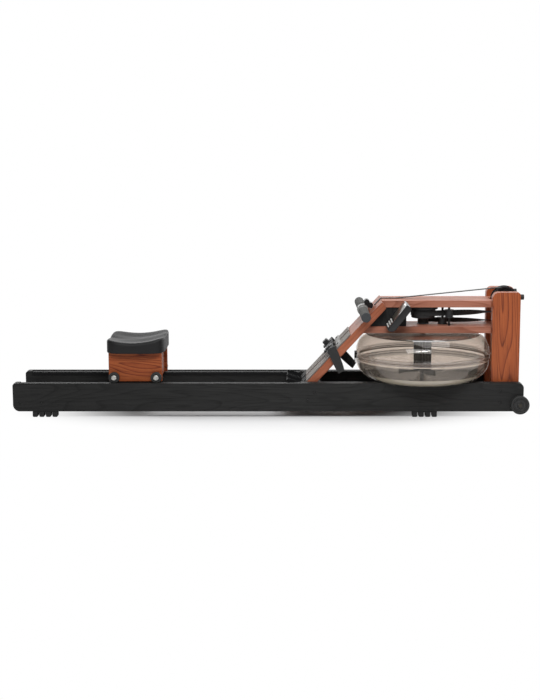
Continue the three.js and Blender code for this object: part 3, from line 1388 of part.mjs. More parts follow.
piece(handle, "handle_bar", turnedY(barProfile, ROUND_SIDES), sleevePlastic);
handleGrip("right_grip", -1);
handleGrip("left_grip", 1);

function strapClip() {
  const ring = SLEEVE_RADIUS + CLIP_WALL;
  const half = CLIP_WIDTH / 2;
  const lobeN = CLIP_LOBE_SPREAD / 2;
  const neck = rectangle(0, CLIP_REACH, -CLIP_LOBE_RADIUS, CLIP_LOBE_RADIUS);
  const disc = (radius, s, n) => turnedY(rod(radius, -half, half), ROUND_SIDES, s, 0, n);
  const hole = (radius, s, n) => turnedY(rod(radius, -half - OVERRUN, half + OVERRUN), ROUND_SIDES, s, 0, n);
  return disc(ring, 0, 0)
    .add(prismY(neck, -half, half))
    .add(disc(CLIP_LOBE_RADIUS, CLIP_REACH, lobeN))
    .add(disc(CLIP_LOBE_RADIUS, CLIP_REACH, -lobeN))
    .subtract(hole(CLIP_EYE_RADIUS, CLIP_REACH, lobeN))
    .subtract(hole(SLEEVE_RADIUS + GAP, 0, 0));
}
piece(handle, "strap_clip", strapClip(), blackPlastic);

// Monitor case on its arm, beside the deck boards
const monitorOuter = -DECK_HALF - MONITOR_SIDE_GAP;
const armFoot = -fillerHalf - GAP;
const armProfile = [
  [0, armFoot],
  [ARM_FOOT_RADIUS, armFoot],
  [ARM_FOOT_RADIUS, armFoot - ARM_FOOT_THICKNESS],
  [MONITOR_AXLE_RADIUS, armFoot - ARM_FOOT_THICKNESS],
  [MONITOR_AXLE_RADIUS, monitorOuter - MONITOR_AXLE_DEPTH],
  [0, monitorOuter - MONITOR_AXLE_DEPTH],
];
piece(machine, "monitor_arm", turnedY(armProfile, ROUND_SIDES, MONITOR_X, 0, MONITOR_Z), blackPlastic);
const monitor = new THREE.Group();
monitor.position.set(MONITOR_X, 0, MONITOR_Z);
monitor.rotation.y = -MONITOR_TILT;
machine.add(monitor);

function monitorCase() {
  const half = MONITOR_LENGTH / 2;
  const thick = MONITOR_THICKNESS / 2;
  const shape = outline([
    [-half, -thick, MONITOR_END_RADIUS],
    [half, -thick, MONITOR_END_RADIUS],
    [half, thick, MONITOR_TOP_RADIUS],
    [-half, thick, MONITOR_TOP_RADIUS],
  ]);
  const far = monitorOuter - MONITOR_WIDTH;
  const boreEnd = monitorOuter - MONITOR_AXLE_DEPTH - RUNNING_GAP;
  const bore = rod(MONITOR_AXLE_RADIUS + RUNNING_GAP, boreEnd, monitorOuter + OVERRUN);
  const screen = block(
    -half + MONITOR_SCREEN_MARGIN,
    half - MONITOR_SCREEN_MARGIN,
    far + MONITOR_SCREEN_MARGIN,
    monitorOuter - MONITOR_SCREEN_MARGIN,
    thick - MONITOR_SCREEN_DEPTH,
    thick + OVERRUN,
  );
  return prismY(shape, far, monitorOuter).subtract(screen).subtract(turnedY(bore, SMALL_SIDES));
}
piece(monitor, "monitor_case", monitorCase(), blackPlastic);

// Seat box: two side boards and two end boards set in from their ends
function seatBox() {
  const half = SEAT_BOX_LENGTH / 2;
  const inner = SEAT_BOX_HALF - SEAT_BOARD_THICKNESS;
  const endOut = half - SEAT_END_INSET;
  const endIn = endOut - SEAT_BOARD_THICKNESS;
  let box = block(-half, half, inner, SEAT_BOX_HALF, SEAT_BOX_BOTTOM, SEAT_BOX_TOP)
    .add(block(-half, half, -SEAT_BOX_HALF, -inner, SEAT_BOX_BOTTOM, SEAT_BOX_TOP))
    .add(block(endIn, endOut, -inner, inner, SEAT_BOX_BOTTOM, SEAT_BOX_TOP))
    .add(block(-endOut, -endIn, -inner, inner, SEAT_BOX_BOTTOM, SEAT_BOX_TOP));
  const bore = rod(SEAT_AXLE_RADIUS + GAP, -SEAT_BOX_HALF - OVERRUN, SEAT_BOX_HALF + OVERRUN);
  for (const end of [-1, 1]) {
    box = box.subtract(turnedY(bore, SMALL_SIDES, (end * SEAT_WHEEL_BASE) / 2, 0, SEAT_WHEEL_Z));
  }
  return box.translate([SEAT_X, 0, 0]);
}
piece(machine, "seat_box", seatBox(), stainedWood);

const wheelInner = SEAT_BOX_HALF + SEAT_WHEEL_SIDE_GAP;
const wheelOuter = wheelInner + SEAT_WHEEL_WIDTH;
const seatWheelProfile = [
  [SEAT_AXLE_RADIUS + RUNNING_GAP, wheelInner],
  [SEAT_WHEEL_RADIUS - SEAT_WHEEL_ROUND, wheelInner],
  [SEAT_WHEEL_RADIUS, wheelInner + SEAT_WHEEL_ROUND],
  [SEAT_WHEEL_RADIUS, wheelOuter - SEAT_WHEEL_ROUND],
  [SEAT_WHEEL_RADIUS - SEAT_WHEEL_ROUND, wheelOuter],
  [SEAT_AXLE_RADIUS + RUNNING_GAP, wheelOuter],
  [SEAT_AXLE_RADIUS + RUNNING_GAP, wheelInner],
];
const axleHead = wheelOuter + RUNNING_GAP;
const seatAxleProfile = [
  [0, -axleHead - SEAT_AXLE_HEAD_HEIGHT],
  [SEAT_AXLE_HEAD_RADIUS, -axleHead - SEAT_AXLE_HEAD_HEIGHT],
  [SEAT_AXLE_HEAD_RADIUS, -axleHead],
  [SEAT_AXLE_RADIUS, -axleHead],
  [SEAT_AXLE_RADIUS, axleHead],
  [SEAT_AXLE_HEAD_RADIUS, axleHead],
  [SEAT_AXLE_HEAD_RADIUS, axleHead + SEAT_AXLE_HEAD_HEIGHT],
  [0, axleHead + SEAT_AXLE_HEAD_HEIGHT],
];
for (const [end, along] of [
  ["rear", -1],
  ["front", 1],
]) {
  const x = SEAT_X + (along * SEAT_WHEEL_BASE) / 2;
  piece(machine, end + "_seat_axle", turnedY(seatAxleProfile, SMALL_SIDES, x, 0, SEAT_WHEEL_Z), steel);
  for (const [name, side] of [
    ["right", -1],
    ["left", 1],
  ]) {
    const profile = seatWheelProfile.map(([r, h]) => [r, side * h]);
    const wheel = turnedY(profile, WHEEL_SIDES, x, 0, SEAT_WHEEL_Z);
    piece(machine, `${end}_${name}_seat_wheel`, wheel, rubber);
  }
}

// Seat pad: a saddle with two shallow hollows and a raised front edge, round at its rim.
function padHeight(x, y) {
  const along = x / (PAD_LENGTH / 2);
  const saddle = PAD_SADDLE * along ** 2 + PAD_TILT * along;
  const hollow = (centre) => Math.exp(-(((y - centre) / PAD_HOLLOW_SPREAD) ** 2) - (x / PAD_LENGTH) ** 2);
  return saddle - PAD_HOLLOW * (hollow(PAD_HOLLOW_PLACE) + hollow(-PAD_HOLLOW_PLACE));
}

function seatPad() {
  const bottom = SEAT_BOX_TOP + GAP;
  const rim = bottom + PAD_MIDDLE_HEIGHT;
  const ring = (inset, height) =>
    Array.from({ length: PAD_POINTS }, (_, k) => {
      const angle = (2 * Math.PI * (k + 1 / 2)) / PAD_POINTS;
      const c = Math.cos(angle);
      const s = Math.sin(angle);
      const reach = (Math.abs(c) ** PAD_CORNER_POWER + Math.abs(s) ** PAD_CORNER_POWER) ** (-1 / PAD_CORNER_POWER);
      const x = (PAD_LENGTH / 2 - inset) * c * reach;
      const y = (PAD_WIDTH / 2 - inset) * s * reach;
      return new THREE.Vector3(x, y, height(x, y));
    });
  const top = (x, y) => rim + padHeight(x, y);
  const rings = [
    ring(PAD_BASE_ROUND, () => bottom),
    ring(0, () => bottom + PAD_BASE_ROUND),
  ];
  for (let i = 1; i <= PAD_RIM_RINGS; i++) {
    const angle = (quarter * i) / PAD_RIM_RINGS;
    const inset = PAD_EDGE_ROUND * (1 - Math.cos(angle));
    rings.push(ring(inset, (x, y) => top(x, y) - PAD_EDGE_ROUND * (1 - Math.sin(angle))));
  }
  const span = PAD_LENGTH / 2 - PAD_EDGE_ROUND;
  for (let i = 1; i < PAD_TOP_RINGS; i++) {
    rings.push(ring(PAD_EDGE_ROUND + (span * i) / PAD_TOP_RINGS, top));
  }
  return skin(rings).translate([SEAT_X, 0, 0]);
}
piece(machine, "seat_pad", seatPad(), padFoam);

export default machine;
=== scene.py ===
import math

import bmesh
import bpy
import numpy as np
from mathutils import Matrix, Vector


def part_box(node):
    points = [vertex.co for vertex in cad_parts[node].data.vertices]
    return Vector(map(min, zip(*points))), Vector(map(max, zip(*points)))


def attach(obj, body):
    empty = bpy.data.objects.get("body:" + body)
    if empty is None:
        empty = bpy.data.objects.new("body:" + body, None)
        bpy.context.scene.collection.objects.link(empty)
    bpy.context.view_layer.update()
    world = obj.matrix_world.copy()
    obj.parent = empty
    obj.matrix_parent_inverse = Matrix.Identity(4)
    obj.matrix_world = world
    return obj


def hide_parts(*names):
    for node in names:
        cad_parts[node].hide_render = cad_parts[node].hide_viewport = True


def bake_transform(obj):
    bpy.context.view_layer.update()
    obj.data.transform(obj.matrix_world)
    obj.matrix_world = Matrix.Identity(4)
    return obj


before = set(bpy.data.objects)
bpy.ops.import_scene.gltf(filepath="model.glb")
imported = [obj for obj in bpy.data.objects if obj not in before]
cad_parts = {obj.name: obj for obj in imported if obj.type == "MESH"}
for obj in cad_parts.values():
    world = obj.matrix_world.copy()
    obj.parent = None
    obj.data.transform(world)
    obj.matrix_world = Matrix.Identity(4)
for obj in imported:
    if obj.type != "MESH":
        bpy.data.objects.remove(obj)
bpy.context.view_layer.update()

# Rails: two long boards of black-stained open-grained hardwood on edge, with their edges eased.
# They carry everything else; a plank joins them at the seat end, another carries the tank,
# and a third, tilted, carries the footboard.


class Wire:
    """A shader socket that takes part in sums: each operator adds its Math node."""

    def __init__(self, finish, socket):
        self.finish = finish
        self.socket = socket

    def sum(self, operation, first, second):
        return self.finish.node("ShaderNodeMath", {"operation": operation}, {0: first, 1: second})

    def __add__(self, other):
        return self.sum("ADD", self, other)

    def __radd__(self, other):
        return self.sum("ADD", other, self)

    def __sub__(self, other):
        return self.sum("SUBTRACT", self, other)

    def __rsub__(self, other):
        return self.sum("SUBTRACT", other, self)

    def __mul__(self, other):
        return self.sum("MULTIPLY", self, other)

    def __rmul__(self, other):
        return self.sum("MULTIPLY", other, self)

    def __pow__(self, other):
        return self.sum("POWER", self, other)


class Finish:
    """A surface finish being mixed: one Principled shader and the nodes that vary it."""

    def __init__(self, name, constants):
        self.material = bpy.data.materials.new(name)
        self.material.use_nodes = True
        self.tree = self.material.node_tree
        self.shader = self.tree.nodes["Principled BSDF"]
        for socket, value in constants.items():
            self.feed(socket, value)

    def node(self, kind, settings, inputs, output=0):
        made = self.tree.nodes.new(kind)
        for key, value in settings.items():
            if key == "stops":
                for i, (at, tone) in enumerate(value):
                    stops = made.color_ramp.elements
                    stop = stops[i] if i < 2 else stops.new(at)
                    stop.position = at
                    stop.color = (*tone, 1)
            else:
                setattr(made, key, value)
        for key, value in inputs.items():
            self.join(made.inputs[key], value)
        return Wire(self, made.outputs[output])

    def join(self, socket, value):
        if isinstance(value, Wire):
            self.tree.links.new(value.socket, socket)
        elif socket.type == "RGBA":
            socket.default_value = (*value, 1)
        else:
            socket.default_value = value

    def feed(self, socket, value):
        self.join(self.shader.inputs[socket], value)

    def place(self, turn=(0, 0, 0), stretch=(1, 1, 1), shift=(0, 0, 0)):
        """Object coordinates, shifted and turned, then stretched."""
        where = self.node("ShaderNodeTexCoord", {}, {}, "Object")
        turned = self.node("ShaderNodeMapping", {}, {"Vector": where, "Rotation": turn, "Location": shift})
        return self.node("ShaderNodeMapping", {}, {"Vector": turned, "Scale": stretch})

    def noise(self, where, scale, detail=2.0, roughness=0.5, distortion=0.0):
        inputs = {
            "Vector": where,
            "Scale": scale,
            "Detail": detail,
            "Roughness": roughness,
            "Distortion": distortion,
        }
        return self.node("ShaderNodeTexNoise", {}, inputs, "Fac")

    def step(self, value, low, high):
        """0 below low, 1 above high, with a smooth rise between."""
        inputs = {"Value": value, "From Min": low, "From Max": high}
        return self.node("ShaderNodeMapRange", {"interpolation_type": "SMOOTHSTEP"}, inputs)

    def tones(self, value, stops):
        return self.node("ShaderNodeValToRGB", {"stops": stops}, {"Fac": value})

    def tint(self, share, first, second):
        """The first colour where the share is 0 and the second where it is 1."""
        return self.node("ShaderNodeMix", {"data_type": "RGBA"}, {0: share, 6: first, 7: second}, 2)

    def relief(self, height, strength, distance):
        bump = self.node("ShaderNodeBump", {}, {"Height": height, "Strength": strength, "Distance": distance})
        self.feed("Normal", bump)

    def show(self, share, first, second):
        """Two shaders mixed by a share become the surface."""
        mixed = self.node("ShaderNodeMixShader", {}, {0: share, 1: first, 2: second})
        self.join(self.tree.nodes["Material Output"].inputs["Surface"], mixed)


def hardwood(
    name, stops, pore, turn=(0, 0, 0), shift=(0, 0, 0), rings=16.0, gloss=0.45, shine=0.35, figure=0.3
):
    """Planed, stained hardwood. Growth rings are the level lines of a slow noise drawn out along the
    grain, so they close in long arches, each darkening to a sharp edge; pores are fine streaks, and
    a broad cloud varies the stain."""
    wood = Finish(name, {"Specular IOR Level": shine})
    slow = wood.noise(wood.place(turn, (1.5, 11.0, 11.0), shift), 1.0, 1.0, 0.4, 0.3)
    lines = wood.node("ShaderNodeMath", {"operation": "FRACT"}, {0: slow * rings})
    darkening = wood.step(lines, 0.15, 0.8) * 0.35 + wood.step(lines, 0.72, 0.88) * 0.65
    late = darkening * (1 - wood.step(lines, 0.9, 0.98))
    streak = wood.noise(wood.place(turn, (4.0, 95.0, 95.0), shift), 1.0, 3.0, 0.6)
    fine = wood.noise(wood.place(turn, (9.0, 520.0, 520.0), shift), 1.0, 2.0, 0.6)
    pores = wood.step(fine, 0.57, 0.7)
    cloud = wood.noise(wood.place(turn, (1.6, 3.0, 3.0), shift), 1.0, 2.0)
    tone = wood.tones(0.3 - late * figure + streak * 0.5 + cloud * 0.4, stops)
    wood.feed("Base Color", wood.tint(pores * 0.6, tone, pore))
    wood.feed("Roughness", gloss + streak * 0.12 + pores * 0.2 - 0.06)
    wood.relief(streak * 0.35 - pores * 0.7 - late * 0.15, 0.35, 0.0004)
    return wood.material


BLACK_STAIN = [
    (0.0, (0.0066, 0.0066, 0.0066)),
    (0.5, (0.0158, 0.0158, 0.0156)),
    (1.0, (0.0315, 0.0315, 0.031)),
]
BLACK_PORE = (0.003, 0.003, 0.003)
rail_wood = hardwood(
    "black_stained_rails", BLACK_STAIN, BLACK_PORE, rings=12.0, gloss=0.52, shine=0.14, figure=0.2
)
cross_wood = hardwood(
    "black_stained_planks",
    BLACK_STAIN,
    BLACK_PORE,
    turn=(0, 0, math.pi / 2),
    shift=(0.4, 0.1, 0.3),
    gloss=0.55,
    shine=0.15,
)


def smooth_faces(mesh, sharpest=35):
    """Shades a mesh smoothly, apart from edges that turn more than the sharpest angle."""
    mesh.polygons.foreach_set("use_smooth", np.ones(len(mesh.polygons), bool))
    mesh.set_sharp_from_angle(angle=math.radians(sharpest))
    mesh.update()


def added(name, data):
    """A new object in the scene."""
    made = bpy.data.objects.new(name, data)
    bpy.context.scene.collection.objects.link(made)
    return made


def set_on(mesh, name, material, body, slot, *nodes):
    """Puts a finished mesh in the scene as a piece of its body, in place of its plain solids."""
    mesh.materials.clear()
    mesh.materials.append(material)
    piece = added(name, mesh)
    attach(piece, body)
    if nodes:
        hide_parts(*nodes)
    return piece


def merged_copy(node):
    """A solid's own mesh, with its loose triangles joined and its flat triangles made whole faces."""
    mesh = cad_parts[node].data.copy()
    work = bmesh.new()
    work.from_mesh(mesh)
    bmesh.ops.remove_doubles(work, verts=work.verts, dist=2e-6)
    bmesh.ops.dissolve_limit(work, angle_limit=math.radians(0.6), verts=work.verts, edges=work.edges)
    work.to_mesh(mesh)
    work.free()
    smooth_faces(mesh)
    return mesh


def planed(node, body, material, slot, ease, rounds=2):
    """A solid in its own finish, with every edge that turns more than 38 degrees rounded by ease."""
    piece = set_on(merged_copy(node), node + "_finished", material, body, slot, node)
    edge = piece.modifiers.new("eased_edges", "BEVEL")
    edge.width = ease
    edge.segments = rounds
    edge.limit_method = "ANGLE"
    edge.angle_limit = math.radians(38)
    edge.harden_normals = True
    edge.use_clamp_overlap = True


for node in ("right_rail", "left_rail"):
    planed(node, "frame", rail_wood, "black_wood", 0.0022)
for node in ("rear_crossboard", "tank_shelf", "footboard_brace"):
    planed(node, "frame", cross_wood, "black_wood", 0.002)

# Bolts through the rails: black furniture bolts with a low domed head and a round socket, two at
# the plank of the seat end, two at the footboard's plank and two at each leg.


def ring_faces(rings, around):
    """Faces between neighbouring rings of points: (i, j), (i, j + 1), (i + 1, j + 1), (i + 1, j),
    where j counts round each ring."""
    i, j = np.meshgrid(np.arange(rings - 1), np.arange(around), indexing="ij")
    k = (j + 1) % around
    faces = [i * around + j, i * around + k, (i + 1) * around + k, (i + 1) * around + j]
    return np.stack(faces, -1).reshape(-1, 4)


def face_outwards(mesh, sharpest=35, merge=False):
    """Turns a closed mesh's faces outwards, after joining its doubled points where it has any."""
    work = bmesh.new()
    work.from_mesh(mesh)
    if merge:
        bmesh.ops.remove_doubles(work, verts=work.verts, dist=1e-6)
        bmesh.ops.dissolve_degenerate(work, edges=work.edges, dist=1e-7)
    bmesh.ops.recalc_face_normals(work, faces=work.faces)
    work.to_mesh(mesh)
    work.free()
    smooth_faces(mesh, sharpest)


def turned(profile, centre, axis, sides=48):
    """A surface of revolution. Point (i, j) is profile point i (radius, height) turned by the angle
    2 pi j / sides about the axis, so x = r cos a, y = r sin a, z = h in the axis's own frame.
    Points on the axis are one vertex, and the profile's two ends are closed there or on each other."""
    rows = np.asarray(profile, float)
    axis = np.asarray(axis, float) / np.linalg.norm(axis)
    side = np.cross(axis, [0.0, 0.0, 1.0] if abs(axis[2]) < 0.9 else [1.0, 0.0, 0.0])
    side /= np.linalg.norm(side)
    other = np.cross(axis, side)
    angle = np.linspace(0, 2 * np.pi, sides, endpoint=False)
    spokes = np.cos(angle)[:, None] * side + np.sin(angle)[:, None] * other
    points = rows[:, 0, None, None] * spokes[None] + rows[:, 1, None, None] * axis
    points = points.reshape(-1, 3) + np.asarray(centre, float)
    mesh = bpy.data.meshes.new("turned")
    mesh.from_pydata(points.tolist(), [], ring_faces(len(rows), sides).tolist())
    face_outwards(mesh, merge=True)
    return mesh


def joined(meshes):
    """Several meshes as one, each with its own shading kept."""
    whole = bmesh.new()
    for mesh in meshes:
        whole.from_mesh(mesh)
    made = bpy.data.meshes.new("joined")
    whole.to_mesh(made)
    whole.free()
    for mesh in meshes:
        bpy.data.meshes.remove(mesh)
    smooth_faces(made)
    return made


def metal(name, tone, roughness):
    """Metal with fine handling marks: noise varies the gloss and lays a faint relief."""
    made = Finish(name, {"Metallic": 1.0})
    marks = made.noise(made.place(), 900.0, 3.0, 0.6)
    broad = made.noise(made.place(), 45.0, 2.0)
    made.feed("Base Color", made.tint(broad * 0.35, tone, tuple(0.7 * c for c in tone)))
    made.feed("Roughness", roughness + marks * 0.12 + broad * 0.08 - 0.08)
    made.relief(marks, 0.12, 0.0002)
    return made.material


black_bolts = metal("black_bolts", (0.05, 0.05, 0.05), 0.4)


def bolt_head(centre, axis, radius=0.005, rise=0.0028):
    """A low dome whose edge is a quarter ellipse, with a round socket sunk in it."""
    arc = np.linspace(0, np.pi / 2, 7)
    under = [(0.0, -0.001), (radius, -0.001)]
    dome = np.stack([radius * (0.62 + 0.38 * np.cos(arc)), rise * np.sin(arc)], 1)
    rim = [(radius * 0.46, rise), (radius * 0.43, rise * 0.92)]
    socket = [(radius * 0.43, rise * 0.1), (0.0, rise * 0.1)]
    return turned([*under, *dome.tolist(), *rim, *socket], centre, axis, 30)


RAIL_FACE = 0.16
RAIL_BOLTS = [
    (-1.021, 0.059),
    (-0.932, 0.059),
    (0.179, 0.103),
    (0.15, 0.07),
    (0.931, 0.108),
    (0.931, 0.061),
]
HANDS = (("right", -1.0), ("left", 1.0))
for hand, side in HANDS:
    heads = [bolt_head((x, side * RAIL_FACE, z), (0, side, 0)) for x, z in RAIL_BOLTS]
    set_on(joined(heads), hand + "_rail_bolts", black_bolts, "frame", "steel")

# Seat tracks: black nylon angles let into the rails' inner top edges, polished by the wheels
# where these run.


def moulded(name, tone, roughness, grain, mottled=0.25, shine=0.3):
    """Moulded plastic or rubber: a fine pebble from noise in the relief and in the gloss, and a
    broad cloud that lightens the tone a little."""
    made = Finish(name, {"Specular IOR Level": shine})
    pebble = made.noise(made.place(), 1100.0, 2.0, 0.6)
    cloud = made.noise(made.place(), 22.0, 3.0)
    made.feed("Base Color", made.tint(cloud * mottled, tone, tuple(min(1.0, 1.7 * c) for c in tone)))
    made.feed("Roughness", roughness + pebble * 0.12 + cloud * 0.1 - 0.1)
    made.relief(pebble, 0.25, grain)
    return made.material


track_nylon = moulded("seat_track_nylon", (0.012, 0.012, 0.0125), 0.55, 0.0002, shine=0.12)
for node in ("right_track", "left_track"):
    planed(node, "frame", track_nylon, "black_plastic", 0.0006)

# Feet: moulded rubber blocks with four lobes, screwed under the rails.
foot_rubber = moulded("foot_rubber", (0.017, 0.017, 0.017), 0.62, 0.0005)
for node in ("rear_right_foot", "rear_left_foot", "front_right_foot", "front_left_foot"):
    planed(node, "frame", foot_rubber, "rubber", 0.0012)

# Castor wheels: black rubber treads on nylon hubs, that take the weight when the machine is
# tipped up. Each turns on a stub axle with a bright head.
wheel_rubber = moulded("wheel_rubber", (0.023, 0.023, 0.023), 0.5, 0.0004)
pin_steel = metal("castor_pin_steel", (0.08, 0.075, 0.065), 0.45)
hub_nylon = moulded("hub_nylon", (0.033, 0.033, 0.033), 0.36, 0.0002)


def rounded(corners, radius=0.002, steps=4):
    """A profile whose corners are cut by arcs: each inner corner becomes a quadratic curve from one
    radius before it to one radius after it."""
    points = np.asarray(corners, float)
    made = [points[0]]
    for before, corner, after in zip(points[:-2], points[1:-1], points[2:]):
        back = before - corner
        ahead = after - corner
        cut_back = min(radius, 0.45 * np.linalg.norm(back))
        cut_ahead = min(radius, 0.45 * np.linalg.norm(ahead))
        start = corner + back / max(np.linalg.norm(back), 1e-9) * cut_back
        end = corner + ahead / max(np.linalg.norm(ahead), 1e-9) * cut_ahead
        t = np.linspace(0, 1, steps + 1)[:, None]
        made.extend((1 - t) ** 2 * start + 2 * t * (1 - t) * corner + t**2 * end)
    made.append(points[-1])
    return np.array(made)


def ring_profile(corners, radius, steps=4):
    """A closed loop of a profile with all its corners rounded."""
    loop = np.asarray(corners, float)
    middle = (loop[0] + loop[1]) / 2
    return rounded([middle, *loop[1:], loop[0], middle], radius, steps)


def rectangle(inner, outer, low, high):
    """The four profile corners between two radii and two heights."""
    return [(inner, low), (outer, low), (outer, high), (inner, high)]


CASTOR_AT = (1.0095, 0.0, 0.054)
CASTOR_RADIUS = 0.038
RIM_RADIUS = 0.0262
AXLE_BORE = 0.0054
castor_tread = ring_profile(rectangle(RIM_RADIUS, CASTOR_RADIUS, 0.163, 0.188), 0.0055, 6)
castor_web = [(AXLE_BORE, 0.1635), (RIM_RADIUS, 0.1635), (RIM_RADIUS, 0.1835), (0.0225, 0.1835)]
castor_web += [(0.0205, 0.181), (0.0135, 0.181), (0.0115, 0.1875), (AXLE_BORE, 0.1875)]
for hand, side in HANDS:
    castor = hand + "_castor"
    wheel = turned(castor_tread, CASTOR_AT, (0, side, 0), 72)
    set_on(wheel, castor + "_tread", wheel_rubber, castor, "rubber", castor + "_wheel")
    hub = turned(ring_profile(castor_web, 0.0008, 3), CASTOR_AT, (0, side, 0), 64)
    set_on(hub, castor + "_hub", hub_nylon, castor, "rubber")
    planed(hand + "_castor_axle", "frame", pin_steel, "steel", 0.001)

# Legs: thick boards of red-brown stained hardwood standing on edge between the rails, with big
# round rear corners. Rubber buttons on their front edges take the weight when it stands on end.
WARM_STAIN = [
    (0.0, (0.105, 0.0205, 0.0072)),
    (0.32, (0.235, 0.05, 0.0155)),
    (0.62, (0.338, 0.0775, 0.0222)),
    (1.0, (0.49, 0.127, 0.0365)),
]
PORE = (0.045, 0.013, 0.008)
UPRIGHT = (0, math.pi / 2, 0)
for hand, shift in (("right", (0.1, 0.35, 0.2)), ("left", (0.7, 0.15, 0.6))):
    leg_wood = hardwood(hand + "_leg_wood", WARM_STAIN, PORE, UPRIGHT, shift, rings=18.0, figure=0.55)
    planed(hand + "_leg", "frame", leg_wood, "stained_wood", 0.003, 3)

button_rubber = moulded("button_rubber", (0.02, 0.02, 0.02), 0.5, 0.0003)
BUTTON_RADIUS = 0.011
button_side = [(0, 1.0113), (BUTTON_RADIUS, 1.0113), (BUTTON_RADIUS, 1.0263)]
button_side += [(0.0055, 1.0263), (0.0045, 1.0235), (0, 1.0235)]
for hand, side in HANDS:
    mesh = turned(rounded(button_side, 0.0022, 5), (0, side * 0.0987, 0.4845), (1, 0, 0), 48)
    set_on(mesh, hand + "_bumper_button", button_rubber, "frame", "rubber", hand + "_bumper")

# Deck boards: two planks of the same wood between the legs and the footboard. The strap drive runs
# in the open space between them, and a black block closes that space behind the footboard.
DECK_STAIN = [
    (0.0, (0.158, 0.053, 0.0355)),
    (0.32, (0.29, 0.105, 0.067)),
    (0.62, (0.392, 0.157, 0.102)),
    (1.0, (0.53, 0.238, 0.165)),
]
upper_wood = hardwood("upper_deck_wood", DECK_STAIN, PORE, shift=(0.3, 0.9, 0.1), rings=9.0, shine=0.1)
lower_wood = hardwood("lower_deck_wood", DECK_STAIN, PORE, shift=(0.8, 0.4, 0.7), rings=9.0, shine=0.1)
planed("upper_deck", "frame", upper_wood, "stained_wood", 0.003, 3)
planed("lower_deck", "frame", lower_wood, "stained_wood", 0.003, 3)
planed("deck_filler", "frame", cross_wood, "black_wood", 0.0015)

# Footboard: a wide plank of the same wood, tilted 47 degrees and mitred to the upper deck board.
ALONG, ACROSS, UP = np.eye(3)


def sloping(turn):
    """The directions up a slope and out of it, for a slope that rises towards the tank."""
    return math.cos(turn) * ALONG + math.sin(turn) * UP, math.cos(turn) * UP - math.sin(turn) * ALONG


BOARD_TURN = math.radians(47.2)
BOARD_AT = np.array([0.149, 0.0, 0.14])
UP_BOARD, OUT_OF_BOARD = sloping(BOARD_TURN)
# The footboard takes the deck's tones made darker and redder: painted shade, as it is the same wood.
BOARD_SHADED_TONES = [(at, (0.85 * r, 0.66 * g, 0.52 * b)) for at, (r, g, b) in DECK_STAIN]
board_wood = hardwood(
    "footboard_wood", BOARD_SHADED_TONES, PORE, (0, BOARD_TURN, 0), (0.2, 0.5, 0.35), rings=9.0, shine=0.17
)
planed("footboard", "frame", board_wood, "stained_wood", 0.003, 3)

# Foot tracks: light grey moulded plates with raised ribs, screwed to the footboard, with a dark
# line along their outer borders and between them. Rows of small slots take the heel rests' pins;
# each slot is a thin dark plate on the track, painted shade for its hollow, and a dark disc on each
# grey catch is painted shade for its round hole.
track_look = Finish("foot_track_plastic", {"Specular IOR Level": 0.1, "Roughness": 0.6})
crosswise = track_look.node("ShaderNodeSeparateXYZ", {}, {0: track_look.place()}, "Y")
offset = track_look.node("ShaderNodeMath", {"operation": "ABSOLUTE"}, {0: crosswise})
pebble = track_look.noise(track_look.place(), 1100.0, 2.0)
grey = track_look.tint(pebble * 0.3, (0.34, 0.315, 0.295), (0.4, 0.375, 0.355))
border_line = track_look.step(offset, 0.1085, 0.1095)
bordered = track_look.tint(border_line, grey, (0.07, 0.063, 0.06))
middle_line = track_look.step(offset, 0.0105, 0.0095)
track_look.feed("Base Color", track_look.tint(middle_line, bordered, (0.05, 0.016, 0.01)))
track_look.relief(pebble, 0.08, 0.0001)
catch_grey = moulded("track_catch_plastic", (0.36, 0.355, 0.345), 0.6, 0.0001, 0.12, shine=0.1)
# Dark finish for the slot plates and the catch's disc: painted shade for hollows and a hole.
slot_and_hole_shade = moulded("slot_shadow", (0.035, 0.033, 0.032), 0.7, 0.0002)


def places_from(origin, first, second, third):
    """A function that turns three measures, each along a direction of its own, into places."""

    def place(a, b, c):
        a, b, c = np.broadcast_arrays(a, b, c)
        return origin + a[..., None] * first + b[..., None] * second + c[..., None] * third

    return place


def capped_rings(grid):
    """A skin over rings of points, grid[ring, place], whose first and last ring are a face each."""
    rings, around = grid.shape[:2]
    first = np.arange(around)
    caps = [first[::-1].tolist(), (first + (rings - 1) * around).tolist()]
    mesh = bpy.data.meshes.new("rings")
    mesh.from_pydata(grid.reshape(-1, 3).tolist(), [], [*ring_faces(rings, around).tolist(), *caps])
    return mesh


def cushion_block(lower, upper, radius, place, steps=3):
    """A block between two corners with rounded edges: a ball of the radius, as a grid of latitude
    and longitude, whose eighths are moved out to the block's corners."""
    lower = np.asarray(lower, float) + radius
    upper = np.asarray(upper, float) - radius
    quarter = np.linspace(0, np.pi / 2, steps + 1)
    lat = np.concatenate([quarter - np.pi / 2, quarter])
    low_side = np.repeat([True, False], steps + 1)
    turns = np.concatenate([quarter + k * np.pi / 2 for k in range(4)])
    right = np.repeat([True, False, False, True], steps + 1)
    front = np.repeat([True, True, False, False], steps + 1)
    ring = np.cos(lat)[:, None]
    x = np.where(right, upper[0], lower[0])[None] + radius * ring * np.cos(turns)[None]
    y = np.where(front, upper[1], lower[1])[None] + radius * ring * np.sin(turns)[None]
    z = np.where(low_side, lower[2], upper[2])[:, None] + radius * np.sin(lat)[:, None] + 0 * x
    mesh = capped_rings(place(x, y, z))
    face_outwards(mesh, 40, merge=True)
    return mesh


